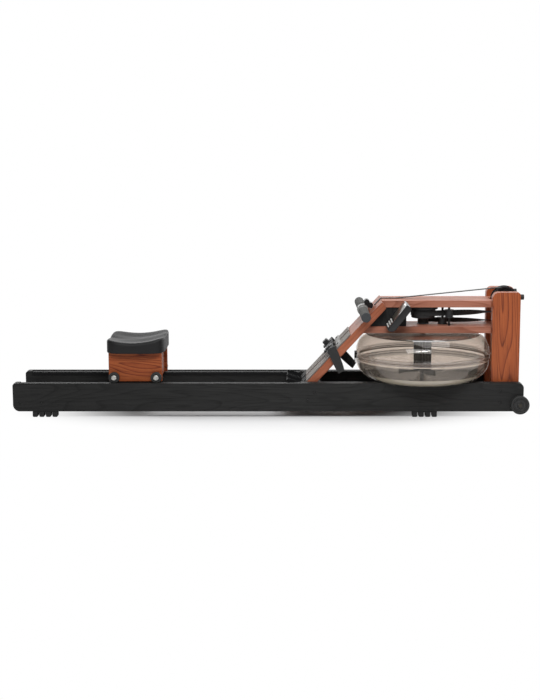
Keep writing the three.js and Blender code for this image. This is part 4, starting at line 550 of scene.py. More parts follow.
# Places on the footboard: up its face from rail height, across it and out of it.
on_board = places_from(BOARD_AT, UP_BOARD, ACROSS, OUT_OF_BOARD)
SLOT_ROWS = np.arange(0.215, 0.25, 0.011)
SLOT_COLUMNS = (0.031, 0.085)
CATCH_TOP = 0.0125
# Profile of a dark disc on the catch: painted shade for its round hole.
catch_hole_shade = [(0, -0.001), (0.006, -0.001), (0.006, 0.0012), (0.005, 0.002), (0, 0.002)]
for hand, side in HANDS:
    planed(hand + "_foot_track", "frame", track_look.material, "grey_plastic", 0.0008)
    slots = []
    for y in SLOT_COLUMNS:
        for s in SLOT_ROWS:
            low = (s - 0.003, side * y - 0.008, 0.0031)
            high = (s + 0.003, side * y + 0.008, 0.0036)
            slots.append(cushion_block(low, high, 0.0002, on_board, 1))
    set_on(joined(slots), hand + "_track_slot_shades", slot_and_hole_shade, "frame", "grey_plastic")
    inner, outer = sorted((side * 0.0085, side * 0.1075))
    catch = cushion_block((0.184, inner, 0.0032), (0.205, outer, CATCH_TOP), 0.0015, on_board)
    set_on(catch, hand + "_track_catch", catch_grey, "frame", "grey_plastic")
    hole_shade_at = on_board(0.1945, side * SLOT_COLUMNS[1], CATCH_TOP)
    button = turned(catch_hole_shade, hole_shade_at, OUT_OF_BOARD, 28)
    set_on(button, hand + "_track_hole_shade", slot_and_hole_shade, "frame", "grey_plastic")

# Heel rests: black moulded shoes that slide up and down the foot tracks.
heel_plastic = moulded("heel_rest_plastic", (0.01, 0.01, 0.0105), 0.6, 0.00015, shine=0.14)
for hand in ("right", "left"):
    planed(hand + "_heel_rest", hand + "_heel", heel_plastic, "black_plastic", 0.0008)

# Foot straps: black webbing that arches over each foot track and hangs down beside the board,
# with a moulded cam buckle on top.


def woven(name, tone, light, ribs_per_metre=520.0, across=14.0):
    """Webbing on its own map: u runs along the strap in metres and v across it from 0 to 1. Sine
    ribs across and along cross in a fine weave that lifts the relief and lightens its crests."""
    cloth = Finish(name, {"Roughness": 0.82, "Sheen Weight": 0.25, "Sheen Roughness": 0.5})
    where = cloth.node("ShaderNodeUVMap", {"uv_map": "strap"}, {})
    split = cloth.node("ShaderNodeSeparateXYZ", {}, {0: where})
    along = Wire(cloth, split.socket.node.outputs["X"])
    over = Wire(cloth, split.socket.node.outputs["Y"])
    weft = cloth.node("ShaderNodeMath", {"operation": "SINE"}, {0: along * (ribs_per_metre * 2 * math.pi)})
    warp = cloth.node("ShaderNodeMath", {"operation": "SINE"}, {0: over * (across * 2 * math.pi)})
    weave = weft * warp * 0.5 + 0.5
    wear = cloth.noise(cloth.place(), 60.0, 3.0)
    cloth.feed("Base Color", cloth.tint(weave * 0.6 + wear * 0.3, tone, light))
    cloth.relief(weave, 0.6, 0.0004)
    return cloth.material


strap_web = woven("strap_webbing", (0.008, 0.008, 0.0082), (0.024, 0.0245, 0.024))


def unit(vectors):
    """Rows of vectors, each divided by its length."""
    return vectors / np.linalg.norm(vectors, axis=1, keepdims=True)


def run_along(path):
    """The length run at each point of a path: the sum of the steps before it."""
    steps = np.linalg.norm(np.diff(path, axis=0), axis=1)
    return np.concatenate([[0.0], np.cumsum(steps)])


def mapped_rings(grid, map_u, map_v):
    """Capped rings with a map of their own, u and v listed for every corner of every face."""
    mesh = capped_rings(grid)
    corners = np.stack([map_u, map_v], 1).astype(np.float32)
    mesh.uv_layers.new(name="strap").data.foreach_set("uv", corners.ravel())
    face_outwards(mesh, 50)
    return mesh


def ribbon(path, across, width, thickness, sides=3):
    """A flat strap with half-round edges carried along a path. Its section is a stadium: point a lies
    at w = +-(width - thickness) / 2 + thickness / 2 cos a across the strap and t = thickness / 2 sin a
    out of it. Its map runs in metres along the path and from 0 to 1 over the width."""
    tangent = unit(np.gradient(path, axis=0))
    across = np.broadcast_to(np.asarray(across, float), path.shape)
    across = unit(across - (across * tangent).sum(1, keepdims=True) * tangent)
    out = np.cross(across, tangent)
    half = thickness / 2
    near_edge = np.linspace(-np.pi / 2, np.pi / 2, sides + 2)
    turn = np.concatenate([near_edge, np.linspace(np.pi / 2, 1.5 * np.pi, sides + 2)])
    w = np.repeat([1.0, -1.0], sides + 2) * (width / 2 - half) + half * np.cos(turn)
    t = half * np.sin(turn)
    points = path[:, None] + w[None, :, None] * across[:, None] + t[None, :, None] * out[:, None]
    count = len(turn)
    faces = ring_faces(len(path), count).reshape(-1)
    run = run_along(path)
    share = w / width + 0.5
    map_u = np.concatenate([run[faces // count], np.repeat(run[[0, -1]], count)])
    map_v = np.concatenate([share[faces % count], share[::-1], share])
    return mapped_rings(points, map_u, map_v)


buckle_plastic = moulded("buckle_plastic", (0.02, 0.021, 0.021), 0.42, 0.0003)
STRAP_S = 0.16
STRAP_INNER = 0.007
STRAP_OUTER = 0.11955
STRAP_WIDE = 0.038
STRAP_THICK = 0.0025
STRAP_BASE = 0.0066
STRAP_RISE = 0.018
TAIL_TURN = math.radians(50)
TAIL_SPREAD = 0.014
TAILS = {"right": (0.098, 0.042), "left": (0.113, 0.11)}
BUCKLE_S = 0.152
LEVER_RISES = {"right": 0.003, "left": 0.015}
for hand, side in HANDS:
    angle = np.linspace(np.pi, 0, 49)
    middle = (STRAP_INNER + STRAP_OUTER) / 2
    y = side * (middle + (STRAP_OUTER - STRAP_INNER) / 2 * np.cos(angle))
    arch = on_board(STRAP_S, y, STRAP_BASE + STRAP_RISE * np.sqrt(np.clip(np.sin(angle), 0, 1)))
    drop, reach = TAILS[hand]
    slant = math.atan2(reach, drop)
    share = np.linspace(0, 1, 33)[:, None]
    broad, upwards = sloping(slant)
    tail = arch[-1] - upwards * (math.hypot(drop, reach) * share - STRAP_WIDE / 2)
    tail = tail + ACROSS * side * TAIL_SPREAD * share
    twist = TAIL_TURN * share**2
    tail_across = np.cos(twist) * broad + np.sin(twist) * ACROSS
    strap = [
        ribbon(arch, UP_BOARD, STRAP_WIDE, STRAP_THICK),
        ribbon(tail, tail_across, STRAP_WIDE, STRAP_THICK),
    ]
    set_on(joined(strap), hand + "_strap_webbing", strap_web, "frame", "webbing", hand + "_foot_strap")
    top = STRAP_BASE + STRAP_RISE
    crest = top + 0.005 + LEVER_RISES[hand]
    blocks = [
        ((BUCKLE_S - 0.022, -0.02, top - 0.0024), (BUCKLE_S + 0.022, 0.02, top + 0.005), 0.002, 3),
        ((0.141, -0.0176, top + 0.001), (0.164, 0.0176, crest), 0.0024, 3),
    ]
    for n in np.arange(top + 0.009, crest - 0.002, 0.0036):
        blocks.append(((0.1402, -0.0168, n - 0.001), (0.1648, 0.0168, n + 0.001), 0.0008, 2))
    shift = np.array([0.0, side * middle, 0.0])
    buckle = [
        cushion_block(low + shift, high + shift, ease, on_board, steps)
        for low, high, ease, steps in blocks
    ]
    set_on(joined(buckle), hand + "_cam_buckle", buckle_plastic, "frame", "webbing")

# Tank: two blow-moulded shells of clear smoke-tinted plastic, joined at their flanges over a pale
# seal, with water in the lower one. A black plug closes the filling hole.
TANK_AT = np.array([0.627, 0.0, 0.0])


def ellipse(centre_r, centre_z, a, b, start, end, steps=28):
    """Profile points (centre_r + a cos t, centre_z + b sin t) between two angles."""
    t = np.linspace(start, end, steps)
    return np.stack([centre_r + a * np.cos(t), centre_z + b * np.sin(t)], 1)


def band(made, height, low, high):
    """1 between two heights and 0 outside, with smooth rises 1.2 mm high."""
    soft = 0.0006
    above = made.step(height, low - soft, low + soft)
    return above * (1 - made.step(height, high - soft, high + soft))


def clear_plastic(name, bands):
    """Smoke-tinted clear plastic: each face lets five sixths of the light through, tinted a little
    warm, where it is seen square on, and less where it turns away. Bands of the shell between two
    heights, such as its flange, have tones and densities of their own; a band kept to faces that look
    down is a painted reflection of the floor, and a thin dark band may be painted shade in a crease.
    A coat gives crisp gloss."""
    gloss = {"Coat Weight": 1.0, "Coat IOR": 2.4, "Coat Roughness": 0.03, "Specular IOR Level": 0.3}
    made = Finish(name, gloss)
    turn = made.node("ShaderNodeLayerWeight", {}, {"Blend": 0.42}, "Facing")
    cloud = made.noise(made.place(), 9.0, 2.0)
    split = made.node("ShaderNodeSeparateXYZ", {}, {0: made.place()}, "Z")
    outward = made.node("ShaderNodeNewGeometry", {}, {}, "Normal")
    under = made.node("ShaderNodeSeparateXYZ", {}, {0: outward}, "Z")
    tone = made.tint(cloud * 0.5, (0.07, 0.06, 0.05), (0.05, 0.043, 0.036))
    alpha = 0.16 + 0.45 * turn**3.0
    for low, high, colour, density, painted_reflection_under in bands:
        share = band(made, split, low, high)
        # A band kept to faces that look down is painted reflection of the pale floor.
        if painted_reflection_under:
            share = share * (1 - made.step(under, -0.3, -0.05))
        tone = made.tint(share, tone, colour)
        alpha = alpha + (density - alpha) * share
    made.feed("Base Color", tone)
    made.feed("Roughness", 0.12 + cloud * 0.1)
    smoke = made.node("ShaderNodeBsdfTransparent", {}, {"Color": (1.0, 0.957, 0.918)})
    made.show(alpha, smoke, Wire(made, made.shader.outputs[0]))
    return made.material


MAUVE = (0.14, 0.1, 0.08)
bowl_plastic = clear_plastic(
    "tank_bowl_plastic",
    [
        (0.2245, 0.24, MAUVE, 0.4, False),
        (0.2205, 0.2245, (0.55, 0.44, 0.34), 0.95, False),
        # Cream band on the bowl's underside, only on faces that look down: painted reflection of the pale
        # floor.
        (0.1, 0.166, (0.5, 0.44, 0.34), 0.8, True),
    ],
)
dome_plastic = clear_plastic(
    "tank_dome_plastic",
    # Thin dark band just under the dome's lip: painted shade in the crease there, with the dust that sits in
    # it.
    [(0.23, 0.2428, MAUVE, 0.4, False), (0.3215, 0.3245, (0.02, 0.015, 0.012), 0.9, False)],
)
TANK_RADIUS = 0.28
BOWL_MIDDLE = (0.189, 0.222)
bowl_floor = [(0, 0.126), (0.12, 0.126)]
bowl_out = ellipse(*BOWL_MIDDLE, 0.088, 0.089, -np.pi / 2, 0)
bowl_in = ellipse(*BOWL_MIDDLE, 0.084, 0.085, 0, -np.pi / 2)
bowl_rim = [(TANK_RADIUS, 0.222), (TANK_RADIUS, 0.231), (0.273, 0.231)]
boss = [(0.12, 0.13), (0.018, 0.13), (0.018, 0.15), (0.0084, 0.15), (0.0084, 0.134), (0, 0.134)]
bowl = turned([*bowl_floor, *bowl_out, *bowl_rim, *bowl_in, *boss], TANK_AT, UP, 160)
set_on(bowl, "tank_bowl_shell", bowl_plastic, "frame", "tank_plastic", "tank_bowl")
DOME_MIDDLE = (0.203, 0.246)
dome_rim = rounded([(0.2245, 0.3265), (0.221, 0.33), (0.218, 0.327), (0.2, 0.327)], 0.0016)
dome_out = ellipse(*DOME_MIDDLE, 0.074, 0.084, 0, math.radians(73))
dome_roof = [(0.013, 0.327), (0.013, 0.323), (0.215, 0.323)]
dome_in = ellipse(*DOME_MIDDLE, 0.07, 0.08, math.radians(70), 0)
flange_in = [(0.264, 0.2426), (0.264, 0.2336)]
flange_out = [(TANK_RADIUS, 0.2336), (TANK_RADIUS, 0.2426)]
dome_side = [*flange_out, *dome_out, *dome_rim, *dome_roof, *dome_in, *flange_in, flange_out[0]]
dome = turned(dome_side, TANK_AT, UP, 160)
set_on(dome, "tank_dome_shell", dome_plastic, "frame", "tank_plastic", "tank_dome")
seal_rubber = moulded("seal_rubber", (0.13, 0.1, 0.08), 0.4, 0.0002)
seal = turned(ring_profile(rectangle(0.264, 0.277, 0.2313, 0.2333), 0.0006), TANK_AT, UP, 120)
set_on(seal, "tank_seal_ring", seal_rubber, "frame", "seal_rubber", "tank_seal")
plug_rubber = moulded("plug_rubber", (0.02, 0.02, 0.02), 0.55, 0.0004)
planed("fill_plug", "frame", plug_rubber, "rubber", 0.0012)


def clear_water(name):
    """Still water: it takes a little light and tints it grey-green, more where it is seen along."""
    made = Finish(name, {"IOR": 1.33, "Roughness": 0.02, "Coat Weight": 0.6, "Coat Roughness": 0.0})
    turn = made.node("ShaderNodeLayerWeight", {}, {"Blend": 0.35}, "Facing")
    ripple = made.noise(made.place(), 18.0, 2.0)
    made.feed("Base Color", made.tint(ripple * 0.3, (0.06, 0.065, 0.055), (0.045, 0.05, 0.042)))
    made.feed("Alpha", 0.4 + 0.3 * turn)
    return made.material


WATER_LEVEL = 0.215
WATER_FLOOR = 0.1345
WATER_DEPTH = 0.0845
level_turn = math.asin((BOWL_MIDDLE[1] - WATER_LEVEL) / WATER_DEPTH)
water_side = ellipse(*BOWL_MIDDLE, 0.0835, WATER_DEPTH, -np.pi / 2, -level_turn, 24)
water_floor = [(r, WATER_FLOOR) for r in (0.0, 0.0185, 0.12)]
water = turned([*water_floor, *water_side[1:], (0, WATER_LEVEL)], TANK_AT, UP, 128)
set_on(water, "tank_water", clear_water("tank_water"), "frame", "tank_plastic")

# Flange clip: a small black moulded block pushed over the two flanges at the side nearest the
# footboard, with a pale moulded tab below it.
clip_black = moulded("flange_clip_plastic", (0.014, 0.014, 0.015), 0.4, 0.0002)
tab_pale = moulded("flange_tab_plastic", (0.5, 0.5, 0.48), 0.4, 0.0002, 0.1)
# Places at the tank's side nearest the footboard: out from its axis, across and up.
on_flange = places_from(TANK_AT, -ALONG, ACROSS, UP)
clamp = cushion_block((0.2715, -0.012, 0.2185), (0.2825, 0.012, 0.2475), 0.0016, on_flange)
set_on(clamp, "flange_clip", clip_black, "frame", "black_plastic")
tab = cushion_block((0.2785, -0.008, 0.199), (0.2825, 0.008, 0.2175), 0.0012, on_flange)
set_on(tab, "flange_tab", tab_pale, "frame", "seal_rubber")

# Paddle: a dark grey moulded rotor, a narrow four-sided mast over four swept blades, on a steel
# shaft that rises through the tank's neck to the clutch.
rotor_plastic = moulded("paddle_plastic", (0.02, 0.02, 0.021), 0.4, 0.0003)
planed("paddle_rotor", "paddle", rotor_plastic, "paddle_plastic", 0.0012)
PIN_TOP = 0.451
shaft = turned(rounded(rectangle(0, 0.008, 0.1343, PIN_TOP), 0.001), TANK_AT, UP, 40)
shaft_steel = metal("shaft_steel", (0.5, 0.5, 0.49), 0.24)
set_on(shaft, "paddle_shaft_turned", shaft_steel, "paddle", "steel", "paddle_shaft")

# Clutch drum: a black cast drum with a wide top flange. The strap winds on its upper part and the
# recoil belt on its narrow hub, and a one-way clutch in it grips the paddle's shaft.
drum_black = moulded("drum_plastic", (0.029, 0.0295, 0.03), 0.36, 0.0003)
drum = [(0.0084, 0.363), (0.025, 0.363), (0.025, 0.366), (0.02, 0.366), (0.02, 0.388), (0.046, 0.388)]
drum += [(0.049, 0.391), (0.049, 0.425), (0.061, 0.425), (0.061, 0.435), (0.05, 0.435), (0.048, 0.4325)]
drum += [(0.024, 0.4325), (0.022, 0.435), (0.0084, 0.435)]
mesh = turned(ring_profile(drum, 0.0012, 3), TANK_AT, UP, 96)
set_on(mesh, "clutch_drum_turned", drum_black, "clutch", "black_plastic", "clutch_drum")

# Strap idler and recoil guide: black rollers with rims, on steel pins between the deck boards.
roller_black = moulded("roller_plastic", (0.022, 0.022, 0.023), 0.34, 0.0002)
PIN_RADIUS = 0.0049
PIN_BOTTOM = 0.349
RIM_THICK = 0.0026


def mirrored(half):
    """Half a profile followed by its mirror image below the height 0."""
    return [*half, *[(r, -h) for r, h in reversed(half)]]


def pinned_roller(name, body, at, radius, rim, low, high):
    """A roller's profile: a pin, and a face between two rims with rounded corners."""
    under, over = low - RIM_THICK, high + RIM_THICK
    corners = [(0, PIN_BOTTOM), (PIN_RADIUS, PIN_BOTTOM), (PIN_RADIUS, under), (rim, under), (rim, low)]
    corners += [(radius, low), (radius, high)]
    corners += [(rim, high), (rim, over), (PIN_RADIUS, over), (PIN_RADIUS, PIN_TOP), (0, PIN_TOP)]
    mesh = turned(rounded(corners, 0.0009, 3), (*at, 0), UP, 56)
    set_on(mesh, name + "_turned", roller_black, body, "black_plastic", name)


pinned_roller("strap_idler", "idler", (0.729, -0.0528), 0.016, 0.02, 0.3965, 0.4245)
pinned_roller("recoil_guide", "belt_guide", (0.707, -0.003316), 0.018, 0.021, 0.3643, 0.3883)

# Pulleys between the legs: black moulded rims on dished webs, each in one with its axle, whose
# ends turn in blind bores of the legs.
pulley_black = moulded("pulley_plastic", (0.017, 0.017, 0.018), 0.38, 0.0003)
AXLE_RADIUS = 0.006
AXLE_END = 0.1017
BOSS_RADIUS = 0.013


def flanged_pulley(name, body, at, rim, groove, width, flange):
    """One half of the profile, mirrored: axle, hub, a dished web, the rim and the groove."""
    half = width / 2
    dish = half * 0.6
    side = [(0, AXLE_END), (AXLE_RADIUS, AXLE_END), (AXLE_RADIUS, half + flange)]
    side += [(BOSS_RADIUS, half + flange), (BOSS_RADIUS, dish), (rim - 0.012, dish), (rim - 0.008, half)]
    side += [(rim, half), (rim, half - flange * 0.7), (groove, half - flange)]
    mesh = turned(rounded(mirrored(side), 0.0012, 3), at, ACROSS, 96)
    set_on(mesh, name + "_turned", pulley_black, body, "black_plastic", name)


TOP_PULLEY_AT = (0.961, 0.0, 0.464)
RECOIL_PULLEY_AT = (0.948, 0.0, 0.349)
BOTTOM_PULLEY_AT = (0.944, 0.0, 0.08)
flanged_pulley("top_pulley", "strap_pulley", TOP_PULLEY_AT, 0.055, 0.049, 0.04, 0.004)
flanged_pulley("recoil_pulley", "belt_pulley", RECOIL_PULLEY_AT, 0.031, 0.026, 0.03, 0.003)
flanged_pulley("bottom_pulley", "bungee_pulley", BOTTOM_PULLEY_AT, 0.031, 0.026, 0.03, 0.003)

# Drive strap and recoil belt: black webbing. The strap comes over the top pulley, twists a quarter
# turn to lie on edge, passes the idler and winds on the drum; the belt runs back off the hub.


def arc(centre, radius, start, end, u, v, steps=40):
    """Points centre + radius (u cos t + v sin t)."""
    t = np.linspace(start, end, steps)[:, None]
    return np.asarray(centre) + radius * (np.cos(t) * np.asarray(u) + np.sin(t) * np.asarray(v))


def twisting(start, end, first, last):
    """A straight stretch whose across direction turns from first to last as t^2 (3 - 2t)."""
    share = np.linspace(0, 1, 40)[1:-1, None]
    turn = share**2 * (3 - 2 * share) * np.pi / 2
    return start + (end - start) * share, np.cos(turn) * first + np.sin(turn) * last


def level_with(x, start, end):
    """The point of the straight line from start to end that lies at x."""
    return start + (end - start) * ((x - start[0]) / (end[0] - start[0]))


DRIVE_WIDE = 0.024
BELT_WIDE = 0.02
WEB_THICK = 0.002
WRAP = math.radians(300)
DRUM_MIDDLE = (TANK_AT[0], 0.0, 0.4105)
DRUM_WRAP_RADIUS = 0.0503
strap_start = math.asin(DRUM_WRAP_RADIUS / (TOP_PULLEY_AT[0] - TANK_AT[0])) - np.pi / 2
over = arc(TOP_PULLEY_AT, DRUM_WRAP_RADIUS, np.pi / 2, -np.pi / 2, ALONG, UP)
wound = arc(DRUM_MIDDLE, DRUM_WRAP_RADIUS, strap_start, strap_start - WRAP, ALONG, ACROSS, 70)
flat_from = level_with(0.753, over[-1], wound[0])
twist, twist_across = twisting(over[-1], flat_from, -ACROSS, UP)
path = np.concatenate([over, twist, [flat_from], wound])
upright = np.tile(UP, (1 + len(wound), 1))
across = np.concatenate([np.tile(-ACROSS, (len(over), 1)), twist_across, upright])
mesh = ribbon(path, across, DRIVE_WIDE, WEB_THICK)
set_on(mesh, "drive_strap_webbing", strap_web, "frame", "webbing", "drive_strap")

HUB_MIDDLE = (TANK_AT[0], 0.0, 0.3763)
HUB_WRAP_RADIUS = 0.0213
BELT_END = 0.205
belt_leaves = np.pi / 2 - math.asin(HUB_WRAP_RADIUS / (RECOIL_PULLEY_AT[0] - TANK_AT[0]))
hub_wound = arc(HUB_MIDDLE, HUB_WRAP_RADIUS, belt_leaves + WRAP, belt_leaves, ALONG, ACROSS, 70)
down = arc(RECOIL_PULLEY_AT, 0.0273, np.pi / 2, 0, ALONG, UP, 24)
flat_until = level_with(0.731, hub_wound[-1], down[0])
twist, twist_across = twisting(flat_until, down[0], UP, -ACROSS)
fall = np.linspace(down[-1], [down[-1][0], 0, BELT_END], 12)[1:]
path = np.concatenate([hub_wound, [flat_until], twist, down, fall])
upright = np.tile(UP, (1 + len(hub_wound), 1))
across = np.concatenate([upright, twist_across, np.tile(-ACROSS, (len(down) + len(fall), 1))])
mesh = ribbon(path, across, BELT_WIDE, WEB_THICK)
set_on(mesh, "recoil_belt_webbing", strap_web, "frame", "webbing", "recoil_belt")

# Recoil bungee: a braided cord from the belt's end, round the bottom pulley and back along the
# floor of the frame to the footboard's plank. It winds the strap back.


def cord_tube(path, radius, sides=16):
    """A round tube along a path in the plane y = 0: section angle a lies at radius (out cos a +
    y sin a). Its map runs in metres along the path and from 0 to 1 round the cord."""
    out = np.cross(unit(np.gradient(path, axis=0)), ACROSS)
    a = np.linspace(0, 2 * np.pi, sides, endpoint=False)
    ring = np.cos(a)[None, :, None] * out[:, None] + np.sin(a)[None, :, None] * ACROSS
    faces = ring_faces(len(path), sides)
    ends = np.zeros(2 * sides)
    map_u = run_along(path)[faces // sides].reshape(-1)
    map_v = ((faces[:, :1] % sides + [0, 1, 1, 0]) / sides).reshape(-1)
    return mapped_rings(
        path[:, None] + radius * ring, np.concatenate([map_u, ends]), np.concatenate([map_v, ends])
    )


braid = woven("bungee_braid", (0.012, 0.012, 0.013), (0.05, 0.05, 0.052), 260.0, 10.0)
bend = arc(BOTTOM_PULLEY_AT, 0.0313, 0, -np.pi / 2, ALONG, UP, 20)
knot = [0.9753, 0, BELT_END - 0.0005]
plank_end = [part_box("recoil_bungee")[0].x + 0.004, 0, bend[-1][2]]
falls = np.linspace(knot, bend[0], 10)[:-1]
runs_back = np.linspace(bend[-1], plank_end, 30)[1:]
mesh = cord_tube(np.concatenate([falls, bend, runs_back]), 0.005)
set_on(mesh, "recoil_bungee_cord", braid, "frame", "webbing", "recoil_bungee")

# Free strap: from the handle's clip up the footboard, over its top edge and along the deck, then
# straight to the top of the pulley.
corner = BOARD_AT + UP_BOARD * 0.4457 + OUT_OF_BOARD * 0.0013
clip_end = BOARD_AT + UP_BOARD * 0.4078 + OUT_OF_BOARD * 0.0013
flat_start = np.array([corner[0] + 0.004, 0, 0.4686])
flat_end = np.array([0.5135, 0, 0.4685])
tangent_at = np.array([0.9608, 0, 0.5145])
knots = np.array([clip_end, (clip_end + corner) / 2, corner, flat_start, flat_end, tangent_at])
run = run_along(knots)
dense = np.unique(np.concatenate([np.linspace(0, run[-1], 80), run[1:-1] - 0.002, run[1:-1] + 0.002]))
path = np.stack([np.interp(dense, run, knots[:, k]) for k in range(3)], 1)
mesh = ribbon(path, -ACROSS, DRIVE_WIDE, WEB_THICK)
mesh.materials.append(strap_web)
free_strap = added("handle_strap_webbing", mesh)
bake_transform(free_strap)
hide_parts("handle_strap")

# Handle: a steel bar in dark grey foam grips with closed ends, and a light grey sleeve between
# them. It leans on the footboard's near edge, held by its strap and a black two-lobed clip.
LEAN = math.radians(1.85)
HANDLE_AT = BOARD_AT + UP_BOARD * 0.361 + OUT_OF_BOARD * (0.0198 + 0.118 * math.sin(LEAN))
BAR = ACROSS * math.cos(LEAN) + OUT_OF_BOARD * math.sin(LEAN)


def foam(name, tone):
    """Closed-cell foam: round cells from a Voronoi pattern dimple the relief and speckle the tone."""
    made = Finish(name, {"Roughness": 0.85})
    cells = made.node("ShaderNodeTexVoronoi", {}, {"Vector": made.place(), "Scale": 900.0}, "Distance")
    cloud = made.noise(made.place(), 35.0, 3.0)
    made.feed("Base Color", made.tint(cells * 0.5 + cloud * 0.4, tone, tuple(0.55 * c for c in tone)))
    made.relief(cells, 0.5, 0.0006)
    return made.material


grip_foam = foam("grip_foam", (0.1, 0.1, 0.093))
# The grips' closed ends take a darker, bluish copy of the grip foam: painted shade on their end faces.
shaded_end_foam = foam("grip_end_shaded_foam", (0.052, 0.057, 0.062))
GRIP_RADIUS = 0.0195
grip = ring_profile(rectangle(0.0113, GRIP_RADIUS, 0.045, 0.214), 0.0018, 4)
grip_end = rounded(rectangle(0, GRIP_RADIUS, 0.2142, 0.22), 0.0035, 6)
for hand, side in HANDS:
    mesh = turned(grip, HANDLE_AT, BAR * side, 64)
    set_on(mesh, hand + "_grip_foam", grip_foam, "handle", "grip_foam", hand + "_grip")
    mesh = turned(grip_end, HANDLE_AT, BAR * side, 64)
    set_on(mesh, hand + "_grip_end", shaded_end_foam, "handle", "grip_foam")
SLEEVE_GREY = (0.27, 0.27, 0.26)
bar_half = [(0, 0.2137), (0.011, 0.2137), (0.011, 0.0447), (0.0175, 0.0447)]
sleeve_plastic = moulded("sleeve_plastic", SLEEVE_GREY, 0.45, 0.0002, 0.1)
mesh = turned(rounded(mirrored(bar_half), 0.0012, 3), HANDLE_AT, BAR, 64)
set_on(mesh, "handle_bar_sleeve", sleeve_plastic, "handle", "sleeve_plastic", "handle_bar")
clip_look = Finish("clip_plastic", {"Specular IOR Level": 0.3, "Roughness": 0.38})
from_middle = clip_look.place(shift=-HANDLE_AT)
off_bar = clip_look.node("ShaderNodeVectorMath", {"operation": "CROSS_PRODUCT"}, {0: from_middle, 1: BAR})
from_bar = clip_look.node("ShaderNodeVectorMath", {"operation": "LENGTH"}, {0: off_bar}, "Value")
grain = clip_look.noise(clip_look.place(), 900.0, 2.0)
past_sleeve = clip_look.step(from_bar, 0.0225, 0.0235)
clip_look.feed("Base Color", clip_look.tint(past_sleeve, SLEEVE_GREY, (0.012, 0.012, 0.0125)))
clip_look.relief(grain, 0.2, 0.0002)
planed("strap_clip", "handle", clip_look.material, "black_plastic", 0.0009)
clip_pin = rounded(rectangle(0, 0.0038, -0.0152, 0.0152), 0.0008)
pins = []
for n in (0.01, -0.01):
    eye = HANDLE_AT + UP_BOARD * 0.035 + OUT_OF_BOARD * n
    pins.append(turned(clip_pin, eye, BAR, 24))
set_on(joined(pins), "clip_pins", black_bolts, "handle", "black_plastic")

# Monitor: a black moulded case on a short arm beside the deck, facing the rower, with a glossy
# window, a grey display behind it and three rows of white keys below.
MONITOR_AT = np.array([0.516, -0.1534, 0.41])
UP_SCREEN, OUT_OF_SCREEN = sloping(math.radians(52))
# Places on the monitor, from the case's middle: up its face, across it and out of it.
on_screen = places_from(MONITOR_AT, UP_SCREEN, ACROSS, OUT_OF_SCREEN)
case_plastic = moulded("monitor_plastic", (0.013, 0.013, 0.0135), 0.3, 0.00012, shine=0.45)


def capsule_case(half, thick, low_round, back_round, front_round, near, far, edge=0.003, steps=10):
    """A case that runs across the machine: its outline is a rectangle with rounded corners, the
    lower back one the roundest, and towards each end the outline shrinks by edge (1 - sin a) while
    it moves on by edge (1 - cos a)."""
    corners = [(-1, -1, low_round, np.pi), (1, -1, back_round, 1.5 * np.pi)]
    corners += [(1, 1, front_round, 0.0), (-1, 1, front_round, 0.5 * np.pi)]
    quarter = np.linspace(0, np.pi / 2, 5)
    places = [(near + edge * (1 - math.cos(a)), edge * (1 - math.sin(a))) for a in quarter]
    places += [(far - edge * (1 - math.cos(a)), edge * (1 - math.sin(a))) for a in quarter[::-1]]
    rows = []
    for y, inset in places:
        ring = []
        for along, out, radius, start in corners:
            a = np.linspace(start, start + np.pi / 2, steps + 1)
            r = radius - inset
            s = along * (half - inset - r) + r * np.cos(a)
            n = out * (thick - inset - r) + r * np.sin(a)
            ring.append(np.stack([s, np.full_like(s, y), n], -1))
        rows.append(np.concatenate(ring))
    mesh = capped_rings(on_screen(*np.moveaxis(np.array(rows), -1, 0)))
    face_outwards(mesh, 45)
    return mesh


case = capsule_case(0.064, 0.014, 0.0222, 0.0134, 0.005, -0.071, 0.071)
set_on(case, "monitor_body", case_plastic, "monitor", "black_plastic", "monitor_case")
planed("monitor_arm", "frame", case_plastic, "black_plastic", 0.001)
window_gloss = Finish("monitor_window", {"Coat Weight": 1.0, "Coat Roughness": 0.02})
window_gloss.feed("Base Color", (0.03, 0.032, 0.034))
smears = window_gloss.noise(window_gloss.place(), 40.0, 3.0)
window_gloss.feed("Roughness", 0.08 + smears * 0.1)
window = cushion_block((-0.0595, -0.0665, 0.0125), (0.0595, 0.0665, 0.0145), 0.0007, on_screen, 2)
set_on(window, "monitor_window", window_gloss.material, "monitor", "black_plastic")
display_grey = moulded("display_panel", (0.06, 0.055, 0.045), 0.3, 0.0001, 0.1, shine=0.4)
display = cushion_block((-0.018, -0.058, 0.014), (0.054, 0.058, 0.0149), 0.0004, on_screen, 2)
set_on(display, "monitor_display", display_grey, "monitor", "black_plastic")
key_white = moulded("key_plastic", (0.62, 0.62, 0.6), 0.35, 0.0001, 0.05)
keys = []
for s in (-0.053, -0.041, -0.029):
    for y in (-0.036, 0.0, 0.036):
        low, high = (s - 0.003, y - 0.014, 0.0135), (s + 0.003, y + 0.014, 0.0157)
        keys.append(cushion_block(low, high, 0.001, on_screen))
set_on(joined(keys), "monitor_keys", key_white, "monitor", "black_plastic")

